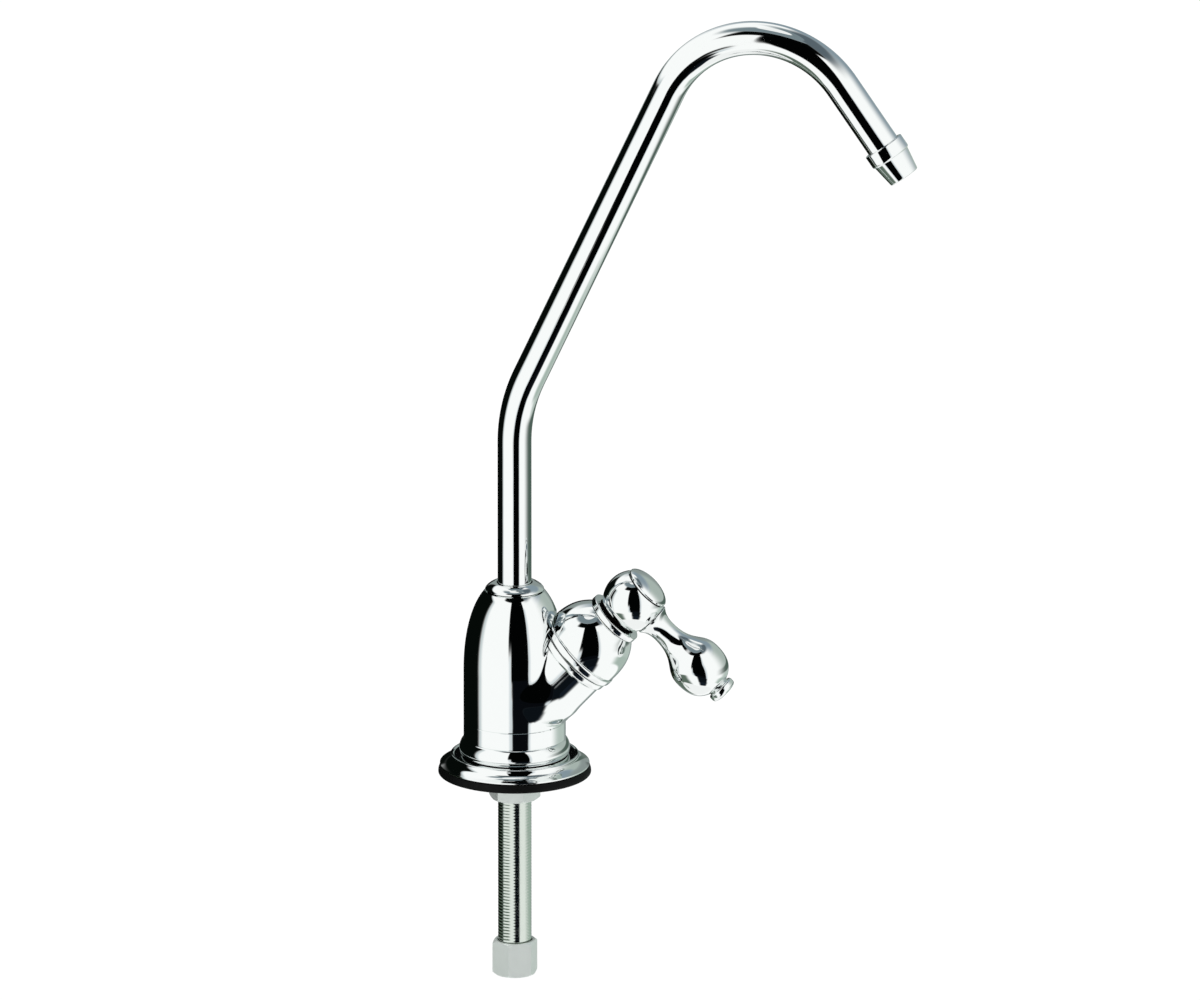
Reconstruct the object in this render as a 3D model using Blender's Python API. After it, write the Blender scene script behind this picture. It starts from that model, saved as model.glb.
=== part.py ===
"""Long-reach drinking water faucet: swivel spout, quarter-turn side valve and threaded shank.

The origin is on the shank's axis in the plane of the deck that the base gasket rests on.
+Z is up and +X points to the valve branch. All lengths are in metres.
"""

import math

import bmesh
import bpy
from mathutils import Vector
from mathutils.geometry import interpolate_bezier

# Fits
CLEARANCE = 0.0003
ORING_SQUEEZE_GAP = 0.00015
MERGE_DISTANCE = 0.000001

# Base gasket and base plate
GASKET_RADIUS = 0.0253
GASKET_THICKNESS = 0.0027
GASKET_DRAFT = 0.00055
GASKET_RELIEF_RADIUS = 0.0125
GASKET_RELIEF_DEPTH = 0.0004
PLATE_RADIUS = 0.02475
PLATE_LIP_RADIUS = 0.0214
PLATE_HEIGHT = 0.0035
PLATE_WALL = 0.0014
PLATE_LIP_WIDTH = 0.0014
PLATE_LIP_RISE = 0.0003
PLATE_HUB_WALL = 0.0023

# Shank and what is screwed on it
SHANK_RADIUS = 0.00555
SHANK_BORE_RADIUS = 0.0032
SHANK_DROP = 0.064
SHANK_GRIP = 0.0084
SHANK_FLARE = 0.0012
DECK_GAP = 0.0003
CLAMP_WASHER_RADIUS = 0.011
CLAMP_WASHER_THICKNESS = 0.0015
LOCK_WASHER_ROOT_RADIUS = 0.0079
LOCK_WASHER_TOOTH = 0.0014
LOCK_WASHER_TEETH = 10
LOCK_WASHER_THICKNESS = 0.0007
LOCK_WASHER_TWIST = 0.0002
LOCK_NUT_FLATS = 0.015
LOCK_NUT_HEIGHT = 0.0053
LOCK_NUT_TURN = -3.0
INLET_NUT_FLATS = 0.01327
INLET_NUT_HEIGHT = 0.0116
INLET_NUT_FLOOR = 0.0015
INLET_NUT_TURN = 22.0
NUT_CHAMFER = 0.00105
TUBE_HOLE_RADIUS = 0.0034
FERRULE_LENGTH = 0.0033
FERRULE_NOSE = 0.0012

# Valve body, heights from its foot
BODY_RADIUS = 0.0169
FOOT_FLARE = 0.00075
FOOT_BULGE = 0.0015
FOOT_HEIGHT = 0.0052
FOOT_RECESS_DEPTH = 0.004
FOOT_WALL = 0.0026
BAND_HEIGHT = 0.006
GROOVE_DEPTH = 0.0002
GROOVE_WIDTH = 0.0004
SHOULDER_HEIGHT = 0.0271
SOCKET_DEPTH = 0.0165
SOCKET_FLOOR_RISE = 0.00034
MOUTH_WALL = 0.0011
PASSAGE_RADIUS = 0.0025
OUTLET_INSET = 0.0029

# Branch of the body, distances along its axis from the body's axis
BRANCH_TILT = 45.0
BRANCH_HEIGHT = 0.0142
BRANCH_START = 0.006
BRANCH_REACH = 0.029
BRANCH_WALL = 0.0021
BRANCH_TAPER = 0.0007
BEAD_HEIGHT = 0.0006
BEAD_LENGTH = 0.002
NOTCH_MARGIN = 0.0005

# Ceramic cartridge
CARTRIDGE_RADIUS = 0.0088
CARTRIDGE_INSERT = 0.015
CARTRIDGE_WALL = 0.0014
CARTRIDGE_SHOULDER = 0.0022
CARTRIDGE_SHOULDER_HEIGHT = 0.002
NECK_RADIUS = 0.0072
NECK_HEIGHT = 0.0137
SEAL_THICKNESS = 0.002
SEAL_WIDTH = 0.0024
SEAL_PROUD = 0.0006
DISC_RADIUS = 0.007
FIXED_DISC_THICKNESS = 0.002
MOVING_DISC_THICKNESS = 0.0018
DISC_PORT_INNER = 0.0014
DISC_PORT_OUTER = 0.0054
DISC_PORT_SPAN = 76.0
WINDOW_WIDTH = 0.0055
WINDOW_HEIGHT = 0.003
STEM_RADIUS = 0.0036
STEM_DRIVER_THICKNESS = 0.0029
STEM_KEY_WIDTH = 0.0022
STEM_KEY_DEPTH = 0.0008
STEM_SPLINE_LENGTH = 0.0125
STEM_SPLINE_DEPTH = 0.0003
STEM_SPLINE_TEETH = 10
STEM_HOLE_DEPTH = 0.011
STEM_ORING_SECTION = 0.0009
STEM_ORING_SPACING = 0.004
STEM_CLIP_THICKNESS = 0.0008
STEM_CLIP_WIDTH = 0.0021
STEM_CLIP_GAP = 70.0
STEM_GROOVE_DEPTH = 0.0006
BODY_ORING_SECTION = 0.00115

# Bonnet over the cartridge
BONNET_SPIGOT = 0.0027
BONNET_FLANGE_MARGIN = 0.0006
BONNET_FLANGE_HEIGHT = 0.0027
BONNET_FLANGE_ROUND = 0.0007
BONNET_DOME_INSET = 0.0003
BONNET_TOP_RADIUS = 0.0095
BONNET_HEIGHT = 0.0165
BONNET_WALL = 0.0021
BONNET_HOLE_RADIUS = 0.007

# Handle
HUB_SKIRT_RADIUS = 0.0097
HUB_SKIRT_HEIGHT = 0.002
HUB_SKIRT_ROUND = 0.0003
HUB_RECESS_DEPTH = 0.0011
HUB_NECK_RADIUS = 0.0064
HUB_NECK_HEIGHT = 0.0009
BALL_RADIUS = 0.0102
BALL_RISE = 0.0099
HUB_WEB = 0.0022
CAP_RADIUS = 0.008
CAP_RIM = 0.0006
CAP_RISE = 0.0026
CAP_PLUG_LENGTH = 0.002
SCREW_HEAD_RADIUS = 0.0032
SCREW_HEAD_HEIGHT = 0.0021
SCREW_RADIUS = 0.0013
SCREW_LENGTH = 0.0105
SCREW_SOCKET_RADIUS = 0.0014
SCREW_SOCKET_DEPTH = 0.0012
LEVER_SEAT = 0.0083
LEVER_ROOT_RADIUS = 0.0059
LEVER_WAIST_RADIUS = 0.004
LEVER_WAIST_AT = 0.0059
LEVER_BELLY_RADIUS = 0.0092
LEVER_BELLY_AT = 0.0216
LEVER_END_RADIUS = 0.0038
LEVER_LENGTH = 0.0313
LEVER_STUD_RADIUS = 0.0025
LEVER_STUD_LENGTH = 0.0029
FINIAL_RADIUS = 0.0047
FINIAL_LENGTH = 0.0036
FINIAL_NECK_RADIUS = 0.0034

# Spout, heights from the body's foot
TUBE_RADIUS = 0.0056
TUBE_WALL = 0.001
SPOUT_RISE = 0.10715
SPOUT_TURN = -8.0
LOWER_BEND_RADIUS = 0.053
SPOUT_LEAN = 25.06
SPOUT_LEG = 0.1129
TOP_BEND_RADIUS = 0.0343
SPOUT_TIP_LEAN = 144.2
SPOUT_TIP = 0.0275
SLEEVE_WALL = 0.00175
SLEEVE_LENGTH = 0.01
SLEEVE_LIP = 0.0006
SLEEVE_FOOT_GAP = 0.0006
SPOUT_ORING_SECTION = 0.0011
SPOUT_ORING_SPACING = 0.004
SLIP_WASHER_THICKNESS = 0.0008
COLLAR_WALL = 0.0026
COLLAR_RISE = 0.0026
COLLAR_LIP = 0.0007
NOZZLE_RING_RADIUS = 0.00695
NOZZLE_RING_LENGTH = 0.0045
NOZZLE_LENGTH = 0.0125
NOZZLE_SHOULDER_RADIUS = 0.0064
NOZZLE_END_RADIUS = 0.0052
NOZZLE_BORE_RADIUS = 0.0038
NOZZLE_GRIP = 0.0038

# Facets around a full turn
BODY_SEGMENTS = 30
MEDIUM_SEGMENTS = 22
SMALL_SEGMENTS = 18
RING_SEGMENTS = 14
RING_SECTION_SEGMENTS = 6
TUBE_SEGMENTS = 14
DEGREES_PER_STEP = 9.0
SHARP_ANGLE = 32.0

# Heights that follow from the sizes above, from the deck
PLATE_BOTTOM = GASKET_THICKNESS + CLEARANCE
BODY_FOOT = PLATE_BOTTOM + PLATE_HEIGHT + CLEARANCE

# Radii that follow from the sizes above
THREAD_HOLE_RADIUS = SHANK_RADIUS + CLEARANCE
TUBE_PASS_RADIUS = TUBE_RADIUS + CLEARANCE
SLEEVE_RADIUS = TUBE_PASS_RADIUS + SLEEVE_WALL
SOCKET_RADIUS = SLEEVE_RADIUS + CLEARANCE
COLLAR_SPIGOT_RADIUS = TUBE_PASS_RADIUS + COLLAR_WALL
SOCKET_MOUTH_RADIUS = COLLAR_SPIGOT_RADIUS + CLEARANCE
RIDGE_RADIUS = SOCKET_MOUTH_RADIUS + MOUTH_WALL
CHAMBER_RADIUS = CARTRIDGE_RADIUS + CLEARANCE
SPIGOT_RADIUS = CARTRIDGE_RADIUS + CARTRIDGE_SHOULDER
MOUTH_RADIUS = SPIGOT_RADIUS + CLEARANCE
BRANCH_RADIUS = MOUTH_RADIUS + BRANCH_WALL
BEAD_RADIUS = BRANCH_RADIUS + BEAD_HEIGHT
FLANGE_RADIUS = BEAD_RADIUS + BONNET_FLANGE_MARGIN
CAVITY_RADIUS = CARTRIDGE_RADIUS - CARTRIDGE_WALL
STEM_BORE_RADIUS = STEM_RADIUS + CLEARANCE

# Places along the branch's axis that follow from the sizes above
CARTRIDGE_SEAT = BRANCH_REACH - BONNET_SPIGOT - CARTRIDGE_SHOULDER_HEIGHT - CLEARANCE
CHAMBER_FLOOR = CARTRIDGE_SEAT - CARTRIDGE_INSERT
CARTRIDGE_BOTTOM = CHAMBER_FLOOR + CLEARANCE + SEAL_PROUD
SEAL_BOTTOM = CHAMBER_FLOOR + CLEARANCE
FIXED_DISC_BOTTOM = SEAL_BOTTOM + SEAL_THICKNESS + CLEARANCE
MOVING_DISC_BOTTOM = FIXED_DISC_BOTTOM + FIXED_DISC_THICKNESS + CLEARANCE
DRIVER_BOTTOM = MOVING_DISC_BOTTOM + MOVING_DISC_THICKNESS + CLEARANCE
DRIVER_TOP = DRIVER_BOTTOM + STEM_DRIVER_THICKNESS
CAVITY_TOP = DRIVER_TOP + CLEARANCE
SHOULDER_BOTTOM = CARTRIDGE_SEAT + CLEARANCE
SHOULDER_TOP = SHOULDER_BOTTOM + CARTRIDGE_SHOULDER_HEIGHT
NECK_TOP = SHOULDER_TOP + NECK_HEIGHT
SPIGOT_BOTTOM = SHOULDER_TOP + CLEARANCE
FLANGE_BOTTOM = BRANCH_REACH + CLEARANCE
FLANGE_TOP = FLANGE_BOTTOM + BONNET_FLANGE_HEIGHT
BONNET_TOP = FLANGE_BOTTOM + BONNET_HEIGHT
HUB_BOTTOM = BONNET_TOP + CLEARANCE
BALL_CENTRE = HUB_BOTTOM + BALL_RISE
WEB_TOP = BALL_CENTRE + HUB_WEB * 0.25
WEB_BOTTOM = WEB_TOP - HUB_WEB
STEM_TOP = WEB_BOTTOM - CLEARANCE
CAP_SEAT = BALL_CENTRE + math.sqrt(BALL_RADIUS ** 2 - CAP_RADIUS ** 2)

# Heights above the body's foot that follow: the socket's floor clears the cartridge's mouth
MOUTH_CORNER = (CARTRIDGE_SEAT + MOUTH_RADIUS) * math.cos(math.radians(BRANCH_TILT))
SOCKET_FLOOR = BRANCH_HEIGHT + MOUTH_CORNER + SOCKET_FLOOR_RISE
BODY_HEIGHT = SOCKET_FLOOR + SOCKET_DEPTH
SLEEVE_BOTTOM = SOCKET_FLOOR + SLEEVE_FOOT_GAP
TUBE_BOTTOM = SLEEVE_BOTTOM + SLEEVE_LIP + CLEARANCE
SLEEVE_TOP = SLEEVE_BOTTOM + SLEEVE_LENGTH
SLIP_WASHER_TOP = SLEEVE_TOP + CLEARANCE + SLIP_WASHER_THICKNESS
COLLAR_BOTTOM = SLIP_WASHER_TOP + CLEARANCE


def clear_scene():
    for item in list(bpy.data.objects):
        bpy.data.objects.remove(item, do_unlink=True)


def make_material(name, colour, roughness, metallic):
    material = bpy.data.materials.new(name)
    material.use_nodes = True
    shader = material.node_tree.nodes["Principled BSDF"]
    shader.inputs["Base Color"].default_value = (*colour, 1.0)
    shader.inputs["Roughness"].default_value = roughness
    shader.inputs["Metallic"].default_value = metallic
    return material


def add_axis(name, parent=None, height=0.0, tilt=0.0, turn=0.0):
    axis = bpy.data.objects.new(name, None)
    axis.empty_display_size = 0.01
    axis.parent = parent
    axis.location = (0.0, 0.0, height)
    axis.rotation_euler = (0.0, math.radians(tilt), math.radians(turn))
    bpy.context.collection.objects.link(axis)
    return axis


def add_body(name, form, material, parent, height=0.0, turn=0.0):
    mesh = bpy.data.meshes.new(name)
    form.to_mesh(mesh)
    form.free()
    mesh.shade_smooth()
    mesh.set_sharp_from_angle(angle=math.radians(SHARP_ANGLE))
    body = bpy.data.objects.new(name, mesh)
    body.parent = parent
    body.location = (0.0, 0.0, height)
    body.rotation_euler = (0.0, 0.0, math.radians(turn))
    if material is not None:
        mesh.materials.append(material)
    bpy.context.collection.objects.link(body)
    return body


def add_cutter(name, form, parent, turn=0.0):
    cutter = add_body(name, form, None, parent, turn=turn)
    cutter.hide_render = True
    cutter.display_type = "WIRE"
    return cutter


def combine(target, operand, operation, solver="EXACT"):
    modifier = target.modifiers.new(operand.name, "BOOLEAN")
    modifier.operation = operation
    modifier.solver = solver
    modifier.object = operand


def outline_of(*stretches):
    """One list of points from several stretches, with shared ends written once."""
    points = []
    for stretch in stretches:
        for radius, height in stretch:
            repeated = points and math.dist(points[-1], (radius, height)) < MERGE_DISTANCE
            if not repeated:
                points.append((radius, height))
    return points


def curve(start, handle_a, handle_b, end, steps):
    points = interpolate_bezier(Vector(start), Vector(handle_a), Vector(handle_b), Vector(end), steps + 1)
    return [(point[0], point[1]) for point in points]


def arc(centre, radius, start, end, steps):
    angles = [math.radians(start + (end - start) * step / steps) for step in range(steps + 1)]
    return [(centre[0] + radius * math.cos(a), centre[1] + radius * math.sin(a)) for a in angles]


def turned(outline, segments):
    """A closed body turned about Z. The outline ends on the axis, or is a closed loop off it."""
    form = bmesh.new()
    points = [form.verts.new((radius, 0.0, height)) for radius, height in outline]
    edges = [form.edges.new(pair) for pair in zip(points, points[1:])]
    if outline[0][0] > 0.0 or outline[-1][0] > 0.0:
        edges.append(form.edges.new((points[-1], points[0])))
    bmesh.ops.spin(
        form, geom=points + edges, cent=(0.0, 0.0, 0.0), axis=(0.0, 0.0, 1.0),
        angle=math.tau, steps=segments, use_merge=True,
    )
    bmesh.ops.remove_doubles(form, verts=form.verts, dist=MERGE_DISTANCE)
    bmesh.ops.recalc_face_normals(form, faces=form.faces)
    return form


def rod(radius, bottom, top, segments):
    return turned([(0.0, bottom), (radius, bottom), (radius, top), (0.0, top)], segments)


def washer(inner, outer, bottom, top, segments):
    return turned([(inner, bottom), (outer, bottom), (outer, top), (inner, top)], segments)


def ring(inner, section, height):
    """A round-section ring, by its inner radius and the thickness of its cord."""
    centre = (inner + section / 2, height)
    loop = arc(centre, section / 2, 0.0, 360.0, RING_SECTION_SEGMENTS)
    return turned(loop[:-1], RING_SEGMENTS)


def prism(outline, bottom, top):
    """An upright prism from a flat outline of (x, y) points."""
    form = bmesh.new()
    base = form.faces.new([form.verts.new((x, y, bottom)) for x, y in outline])
    lifted = bmesh.ops.extrude_face_region(form, geom=[base])["geom"]
    moved = [item for item in lifted if isinstance(item, bmesh.types.BMVert)]
    bmesh.ops.translate(form, verts=moved, vec=(0.0, 0.0, top - bottom))
    bmesh.ops.recalc_face_normals(form, faces=form.faces)
    return form


def block(length, width, bottom, top):
    x = length / 2
    y = width / 2
    return prism([(-x, -y), (x, -y), (x, y), (-x, y)], bottom, top)


def star(root, tip, teeth, bottom, top):
    count = teeth * 2
    outline = []
    for index in range(count):
        radius = tip if index % 2 else root
        angle = math.tau * index / count
        outline.append((radius * math.cos(angle), radius * math.sin(angle)))
    return prism(outline, bottom, top)


def sector(inner, outer, middle, span, bottom, top):
    steps = 8
    far = arc((0.0, 0.0), outer, middle - span / 2, middle + span / 2, steps)
    near = arc((0.0, 0.0), inner, middle + span / 2, middle - span / 2, steps)
    return prism(far + near, bottom, top)


def hexagon(flats, bottom, top, chamfer_bottom, chamfer_top):
    """A hexagonal bar, and the turned form that its corners are cut to at one or both ends."""
    corner = flats / math.sqrt(3.0)
    bar = prism(arc((0.0, 0.0), corner, 0.0, 300.0, 5), bottom, top)
    clear = corner + CLEARANCE
    beyond = CLEARANCE * 2
    narrow = flats / 2 - beyond * (clear - flats / 2) / NUT_CHAMFER
    limit = turned([
        (0.0, bottom - beyond),
        (narrow if chamfer_bottom else clear, bottom - beyond),
        (clear, bottom + NUT_CHAMFER),
        (clear, top - NUT_CHAMFER),
        (narrow if chamfer_top else clear, top + beyond),
        (0.0, top + beyond),
    ], MEDIUM_SEGMENTS)
    return bar, limit


def make_gasket(rubber, base):
    """The pad under the base, relieved round its hole so that its outer ring presses on the deck."""
    top_radius = GASKET_RADIUS - GASKET_DRAFT
    form = turned([
        (THREAD_HOLE_RADIUS, GASKET_RELIEF_DEPTH),
        (GASKET_RELIEF_RADIUS, GASKET_RELIEF_DEPTH),
        (GASKET_RELIEF_RADIUS, 0.0),
        (GASKET_RADIUS - CLEARANCE, 0.0),
        (GASKET_RADIUS, CLEARANCE),
        (GASKET_RADIUS, GASKET_THICKNESS * 0.45),
        (top_radius, GASKET_THICKNESS),
        (THREAD_HOLE_RADIUS, GASKET_THICKNESS),
    ], BODY_SEGMENTS)
    add_body("base_gasket", form, rubber, base)


def make_plate(chrome, base):
    seat = PLATE_HEIGHT
    lip_inner = PLATE_LIP_RADIUS - PLATE_LIP_WIDTH
    lip_top = seat + PLATE_LIP_RISE
    hub = THREAD_HOLE_RADIUS + PLATE_HUB_WALL
    flare = curve(
        (PLATE_LIP_RADIUS, seat - PLATE_LIP_RISE * 2), (PLATE_LIP_RADIUS + 0.0006, seat * 0.45),
        (PLATE_RADIUS - 0.0016, seat * 0.32), (PLATE_RADIUS, seat * 0.14), 3)
    lip = curve(
        (lip_inner, seat), (lip_inner + PLATE_LIP_WIDTH * 0.25, lip_top + PLATE_LIP_RISE * 0.5),
        (PLATE_LIP_RADIUS, lip_top + PLATE_LIP_RISE), (PLATE_LIP_RADIUS, seat - PLATE_LIP_RISE * 2), 4)
    inside = [
        (PLATE_RADIUS, 0.0),
        (PLATE_RADIUS - PLATE_WALL, 0.0),
        (PLATE_LIP_RADIUS - PLATE_WALL * 0.5, seat - PLATE_WALL),
        (hub, seat - PLATE_WALL),
        (hub, 0.0),
        (THREAD_HOLE_RADIUS, 0.0),
        (THREAD_HOLE_RADIUS, seat),
    ]
    form = turned(outline_of(lip, flare, inside), BODY_SEGMENTS)
    add_body("base_plate", form, chrome, base, height=PLATE_BOTTOM)


def make_shank(nickel, base):
    top = BODY_FOOT + SHANK_GRIP
    bottom = -SHANK_DROP
    edge = CLEARANCE
    form = turned([
        (SHANK_BORE_RADIUS, top),
        (SHANK_BORE_RADIUS, bottom + SHANK_FLARE),
        (SHANK_BORE_RADIUS + SHANK_FLARE, bottom),
        (SHANK_RADIUS - edge, bottom),
        (SHANK_RADIUS, bottom + edge),
        (SHANK_RADIUS, top - edge),
        (SHANK_RADIUS - edge, top),
    ], SMALL_SEGMENTS)
    add_body("shank", form, nickel, base)


def make_clamp_washer(steel, base):
    """The washer under the deck, drawn run up close below the gasket."""
    top = -DECK_GAP
    form = washer(
        THREAD_HOLE_RADIUS, CLAMP_WASHER_RADIUS, top - CLAMP_WASHER_THICKNESS, top, MEDIUM_SEGMENTS)
    add_body("clamp_washer", form, steel, base)
    return top - CLAMP_WASHER_THICKNESS


def make_lock_washer(steel, base, above):
    """A toothed washer whose teeth are each twisted, one edge up and the other down."""
    form = bmesh.new()
    half = LOCK_WASHER_THICKNESS / 2
    middle = above - CLEARANCE - LOCK_WASHER_TWIST - half
    pitch = math.tau / LOCK_WASHER_TEETH
    tip = LOCK_WASHER_ROOT_RADIUS + LOCK_WASHER_TOOTH
    corners = (
        (0.08, LOCK_WASHER_ROOT_RADIUS, 0.0), (0.22, tip, LOCK_WASHER_TWIST),
        (0.68, tip, -LOCK_WASHER_TWIST), (0.82, LOCK_WASHER_ROOT_RADIUS, 0.0))
    loops = [[], [], [], []]
    for tooth in range(LOCK_WASHER_TEETH):
        for share, radius, lift in corners:
            angle = (tooth + share) * pitch
            x = math.cos(angle)
            y = math.sin(angle)
            hole = THREAD_HOLE_RADIUS
            loops[0].append(form.verts.new((hole * x, hole * y, middle - half)))
            loops[1].append(form.verts.new((radius * x, radius * y, middle + lift - half)))
            loops[2].append(form.verts.new((radius * x, radius * y, middle + lift + half)))
            loops[3].append(form.verts.new((hole * x, hole * y, middle + half)))
    count = len(loops[0])
    for near, far in zip(loops, loops[1:] + loops[:1]):
        for index in range(count):
            after = (index + 1) % count
            form.faces.new((near[index], near[after], far[after], far[index]))
    bmesh.ops.recalc_face_normals(form, faces=form.faces)
    add_body("lock_washer", form, steel, base)
    return middle - half - LOCK_WASHER_TWIST


def make_lock_nut(nickel, base, above):
    top = above - CLEARANCE
    bottom = top - LOCK_NUT_HEIGHT
    bar, limit = hexagon(LOCK_NUT_FLATS, bottom, top, True, False)
    nut = add_body("lock_nut", bar, nickel, base, turn=LOCK_NUT_TURN)
    combine(nut, add_cutter("lock_nut_corners", limit, base), "INTERSECT")
    lead = SHANK_RADIUS + NUT_CHAMFER
    bore = turned([
        (0.0, bottom - CLEARANCE),
        (lead, bottom - CLEARANCE),
        (THREAD_HOLE_RADIUS, bottom + NUT_CHAMFER - CLEARANCE),
        (THREAD_HOLE_RADIUS, top + CLEARANCE),
        (0.0, top + CLEARANCE),
    ], SMALL_SEGMENTS)
    combine(nut, add_cutter("lock_nut_bore", bore, base), "DIFFERENCE")


def make_inlet_nut(nickel, base):
    """The compression nut on the shank's end, with the ferrule's space above its floor."""
    ferrule_top = -SHANK_DROP - CLEARANCE
    floor = ferrule_top - FERRULE_LENGTH - CLEARANCE
    bottom = floor - INLET_NUT_FLOOR
    top = bottom + INLET_NUT_HEIGHT
    bar, limit = hexagon(INLET_NUT_FLATS, bottom, top, True, True)
    nut = add_body("inlet_nut", bar, nickel, base, turn=INLET_NUT_TURN)
    combine(nut, add_cutter("inlet_nut_corners", limit, base), "INTERSECT")
    bore = turned([
        (0.0, bottom - CLEARANCE),
        (TUBE_HOLE_RADIUS, bottom - CLEARANCE),
        (TUBE_HOLE_RADIUS, floor - FERRULE_NOSE * 0.4),
        (THREAD_HOLE_RADIUS, floor + FERRULE_NOSE),
        (THREAD_HOLE_RADIUS, top + CLEARANCE),
        (0.0, top + CLEARANCE),
    ], SMALL_SEGMENTS)
    combine(nut, add_cutter("inlet_nut_bore", bore, base), "DIFFERENCE")


def make_ferrule(plastic, base):
    top = -SHANK_DROP - CLEARANCE
    bottom = top - FERRULE_LENGTH
    outer = SHANK_BORE_RADIUS + SHANK_FLARE
    hole = TUBE_HOLE_RADIUS
    form = turned([
        (hole, bottom + FERRULE_NOSE * 0.2),
        (hole + CLEARANCE, bottom + FERRULE_NOSE * 0.2),
        (outer + CLEARANCE, bottom + FERRULE_NOSE * 1.5),
        (outer + CLEARANCE, top - CLEARANCE),
        (outer, top),
        (hole, top),
    ], SMALL_SEGMENTS)
    add_body("ferrule", form, plastic, base)


def bell_outline():
    """The body without its branch: ridge, shoulder, straight wall, foot and thread hole."""
    foot_radius = BODY_RADIUS + FOOT_FLARE
    bulge = BODY_RADIUS + FOOT_BULGE
    band_top = FOOT_HEIGHT + BAND_HEIGHT
    shoulder_start = BODY_HEIGHT - SHOULDER_HEIGHT
    top = [(0.0, BODY_HEIGHT)]
    drop = BODY_RADIUS - RIDGE_RADIUS
    shoulder = curve(
        (RIDGE_RADIUS, BODY_HEIGHT), (RIDGE_RADIUS + drop * 0.65, BODY_HEIGHT - SHOULDER_HEIGHT * 0.19),
        (BODY_RADIUS, BODY_HEIGHT - SHOULDER_HEIGHT * 0.56), (BODY_RADIUS, shoulder_start), 8)
    wall = [
        (BODY_RADIUS, band_top + GROOVE_WIDTH),
        (BODY_RADIUS - GROOVE_DEPTH, band_top + GROOVE_WIDTH / 2),
        (BODY_RADIUS, band_top),
        (BODY_RADIUS, FOOT_HEIGHT + GROOVE_WIDTH),
        (BODY_RADIUS - GROOVE_DEPTH, FOOT_HEIGHT + GROOVE_WIDTH / 2),
    ]
    foot = curve(
        (BODY_RADIUS + GROOVE_DEPTH / 2, FOOT_HEIGHT), (bulge, FOOT_HEIGHT * 0.7),
        (bulge + GROOVE_DEPTH * 2, FOOT_HEIGHT * 0.27), (foot_radius, 0.0), 5)
    boss = THREAD_HOLE_RADIUS + FOOT_WALL
    underside = [
        (foot_radius - FOOT_WALL, 0.0),
        (foot_radius - FOOT_WALL, FOOT_RECESS_DEPTH),
        (boss, FOOT_RECESS_DEPTH),
        (boss, 0.0),
        (THREAD_HOLE_RADIUS, 0.0),
        (THREAD_HOLE_RADIUS, SHANK_GRIP + CLEARANCE),
        (0.0, SHANK_GRIP + CLEARANCE),
    ]
    return outline_of(top, shoulder, wall, foot, underside)


def make_valve_body(chrome, body_axis, branch_axis):
    """The one-piece casting. Its bores share facets on one plane, which the exact solver can't cut."""
    body = add_body("valve_body", turned(bell_outline(), BODY_SEGMENTS), chrome, body_axis)

    # The shoulder is spot-faced round the branch, so that the bonnet's flange can seat
    notch = rod(
        FLANGE_RADIUS + NOTCH_MARGIN, BRANCH_REACH - CLEARANCE, BALL_CENTRE, BODY_SEGMENTS)
    combine(body, add_cutter("flange_notch", notch, branch_axis), "DIFFERENCE", "MANIFOLD")

    bead_start = BRANCH_REACH - BEAD_LENGTH
    branch = turned([
        (0.0, BRANCH_START),
        (BRANCH_RADIUS + BRANCH_TAPER, BRANCH_START),
        (BRANCH_RADIUS, bead_start - BEAD_HEIGHT),
        (BEAD_RADIUS, bead_start),
        (BEAD_RADIUS, BRANCH_REACH - CLEARANCE * 2),
        (BEAD_RADIUS - CLEARANCE, BRANCH_REACH),
        (0.0, BRANCH_REACH),
    ], BODY_SEGMENTS)
    combine(body, add_cutter("branch_form", branch, branch_axis), "UNION", "MANIFOLD")

    bore = turned([
        (0.0, 0.0),
        (PASSAGE_RADIUS, 0.0),
        (PASSAGE_RADIUS, CHAMBER_FLOOR),
        (CHAMBER_RADIUS, CHAMBER_FLOOR),
        (CHAMBER_RADIUS, CARTRIDGE_SEAT),
        (MOUTH_RADIUS, CARTRIDGE_SEAT),
        (MOUTH_RADIUS, BRANCH_REACH + BEAD_LENGTH),
        (0.0, BRANCH_REACH + BEAD_LENGTH),
    ], MEDIUM_SEGMENTS)
    combine(body, add_cutter("cartridge_chamber", bore, branch_axis), "DIFFERENCE", "MANIFOLD")

    socket = turned([
        (0.0, SOCKET_FLOOR),
        (SOCKET_RADIUS, SOCKET_FLOOR),
        (SOCKET_RADIUS, COLLAR_BOTTOM - CLEARANCE),
        (SOCKET_MOUTH_RADIUS, COLLAR_BOTTOM - CLEARANCE),
        (SOCKET_MOUTH_RADIUS, BODY_HEIGHT + CLEARANCE),
        (0.0, BODY_HEIGHT + CLEARANCE),
    ], BODY_SEGMENTS)
    combine(body, add_cutter("spout_socket", socket, body_axis), "DIFFERENCE", "MANIFOLD")

    inlet = rod(
        PASSAGE_RADIUS * 0.96, SHANK_GRIP, BRANCH_HEIGHT + PASSAGE_RADIUS, SMALL_SEGMENTS)
    combine(body, add_cutter("inlet_passage", inlet, body_axis), "DIFFERENCE", "MANIFOLD")

    # The outlet runs straight down from the spout's socket into the side of the chamber
    tilt = math.radians(BRANCH_TILT)
    along = CHAMBER_FLOOR + OUTLET_INSET
    across = along * math.sin(tilt) - CHAMBER_RADIUS * math.cos(tilt)
    wall_height = BRANCH_HEIGHT + along * math.cos(tilt) + CHAMBER_RADIUS * math.sin(tilt)
    outlet = rod(
        PASSAGE_RADIUS * 0.9, wall_height - PASSAGE_RADIUS * 2, SOCKET_FLOOR + CLEARANCE, SMALL_SEGMENTS)
    drill = add_cutter("outlet_passage", outlet, body_axis)
    drill.location.x = across
    combine(body, drill, "DIFFERENCE", "MANIFOLD")


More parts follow.
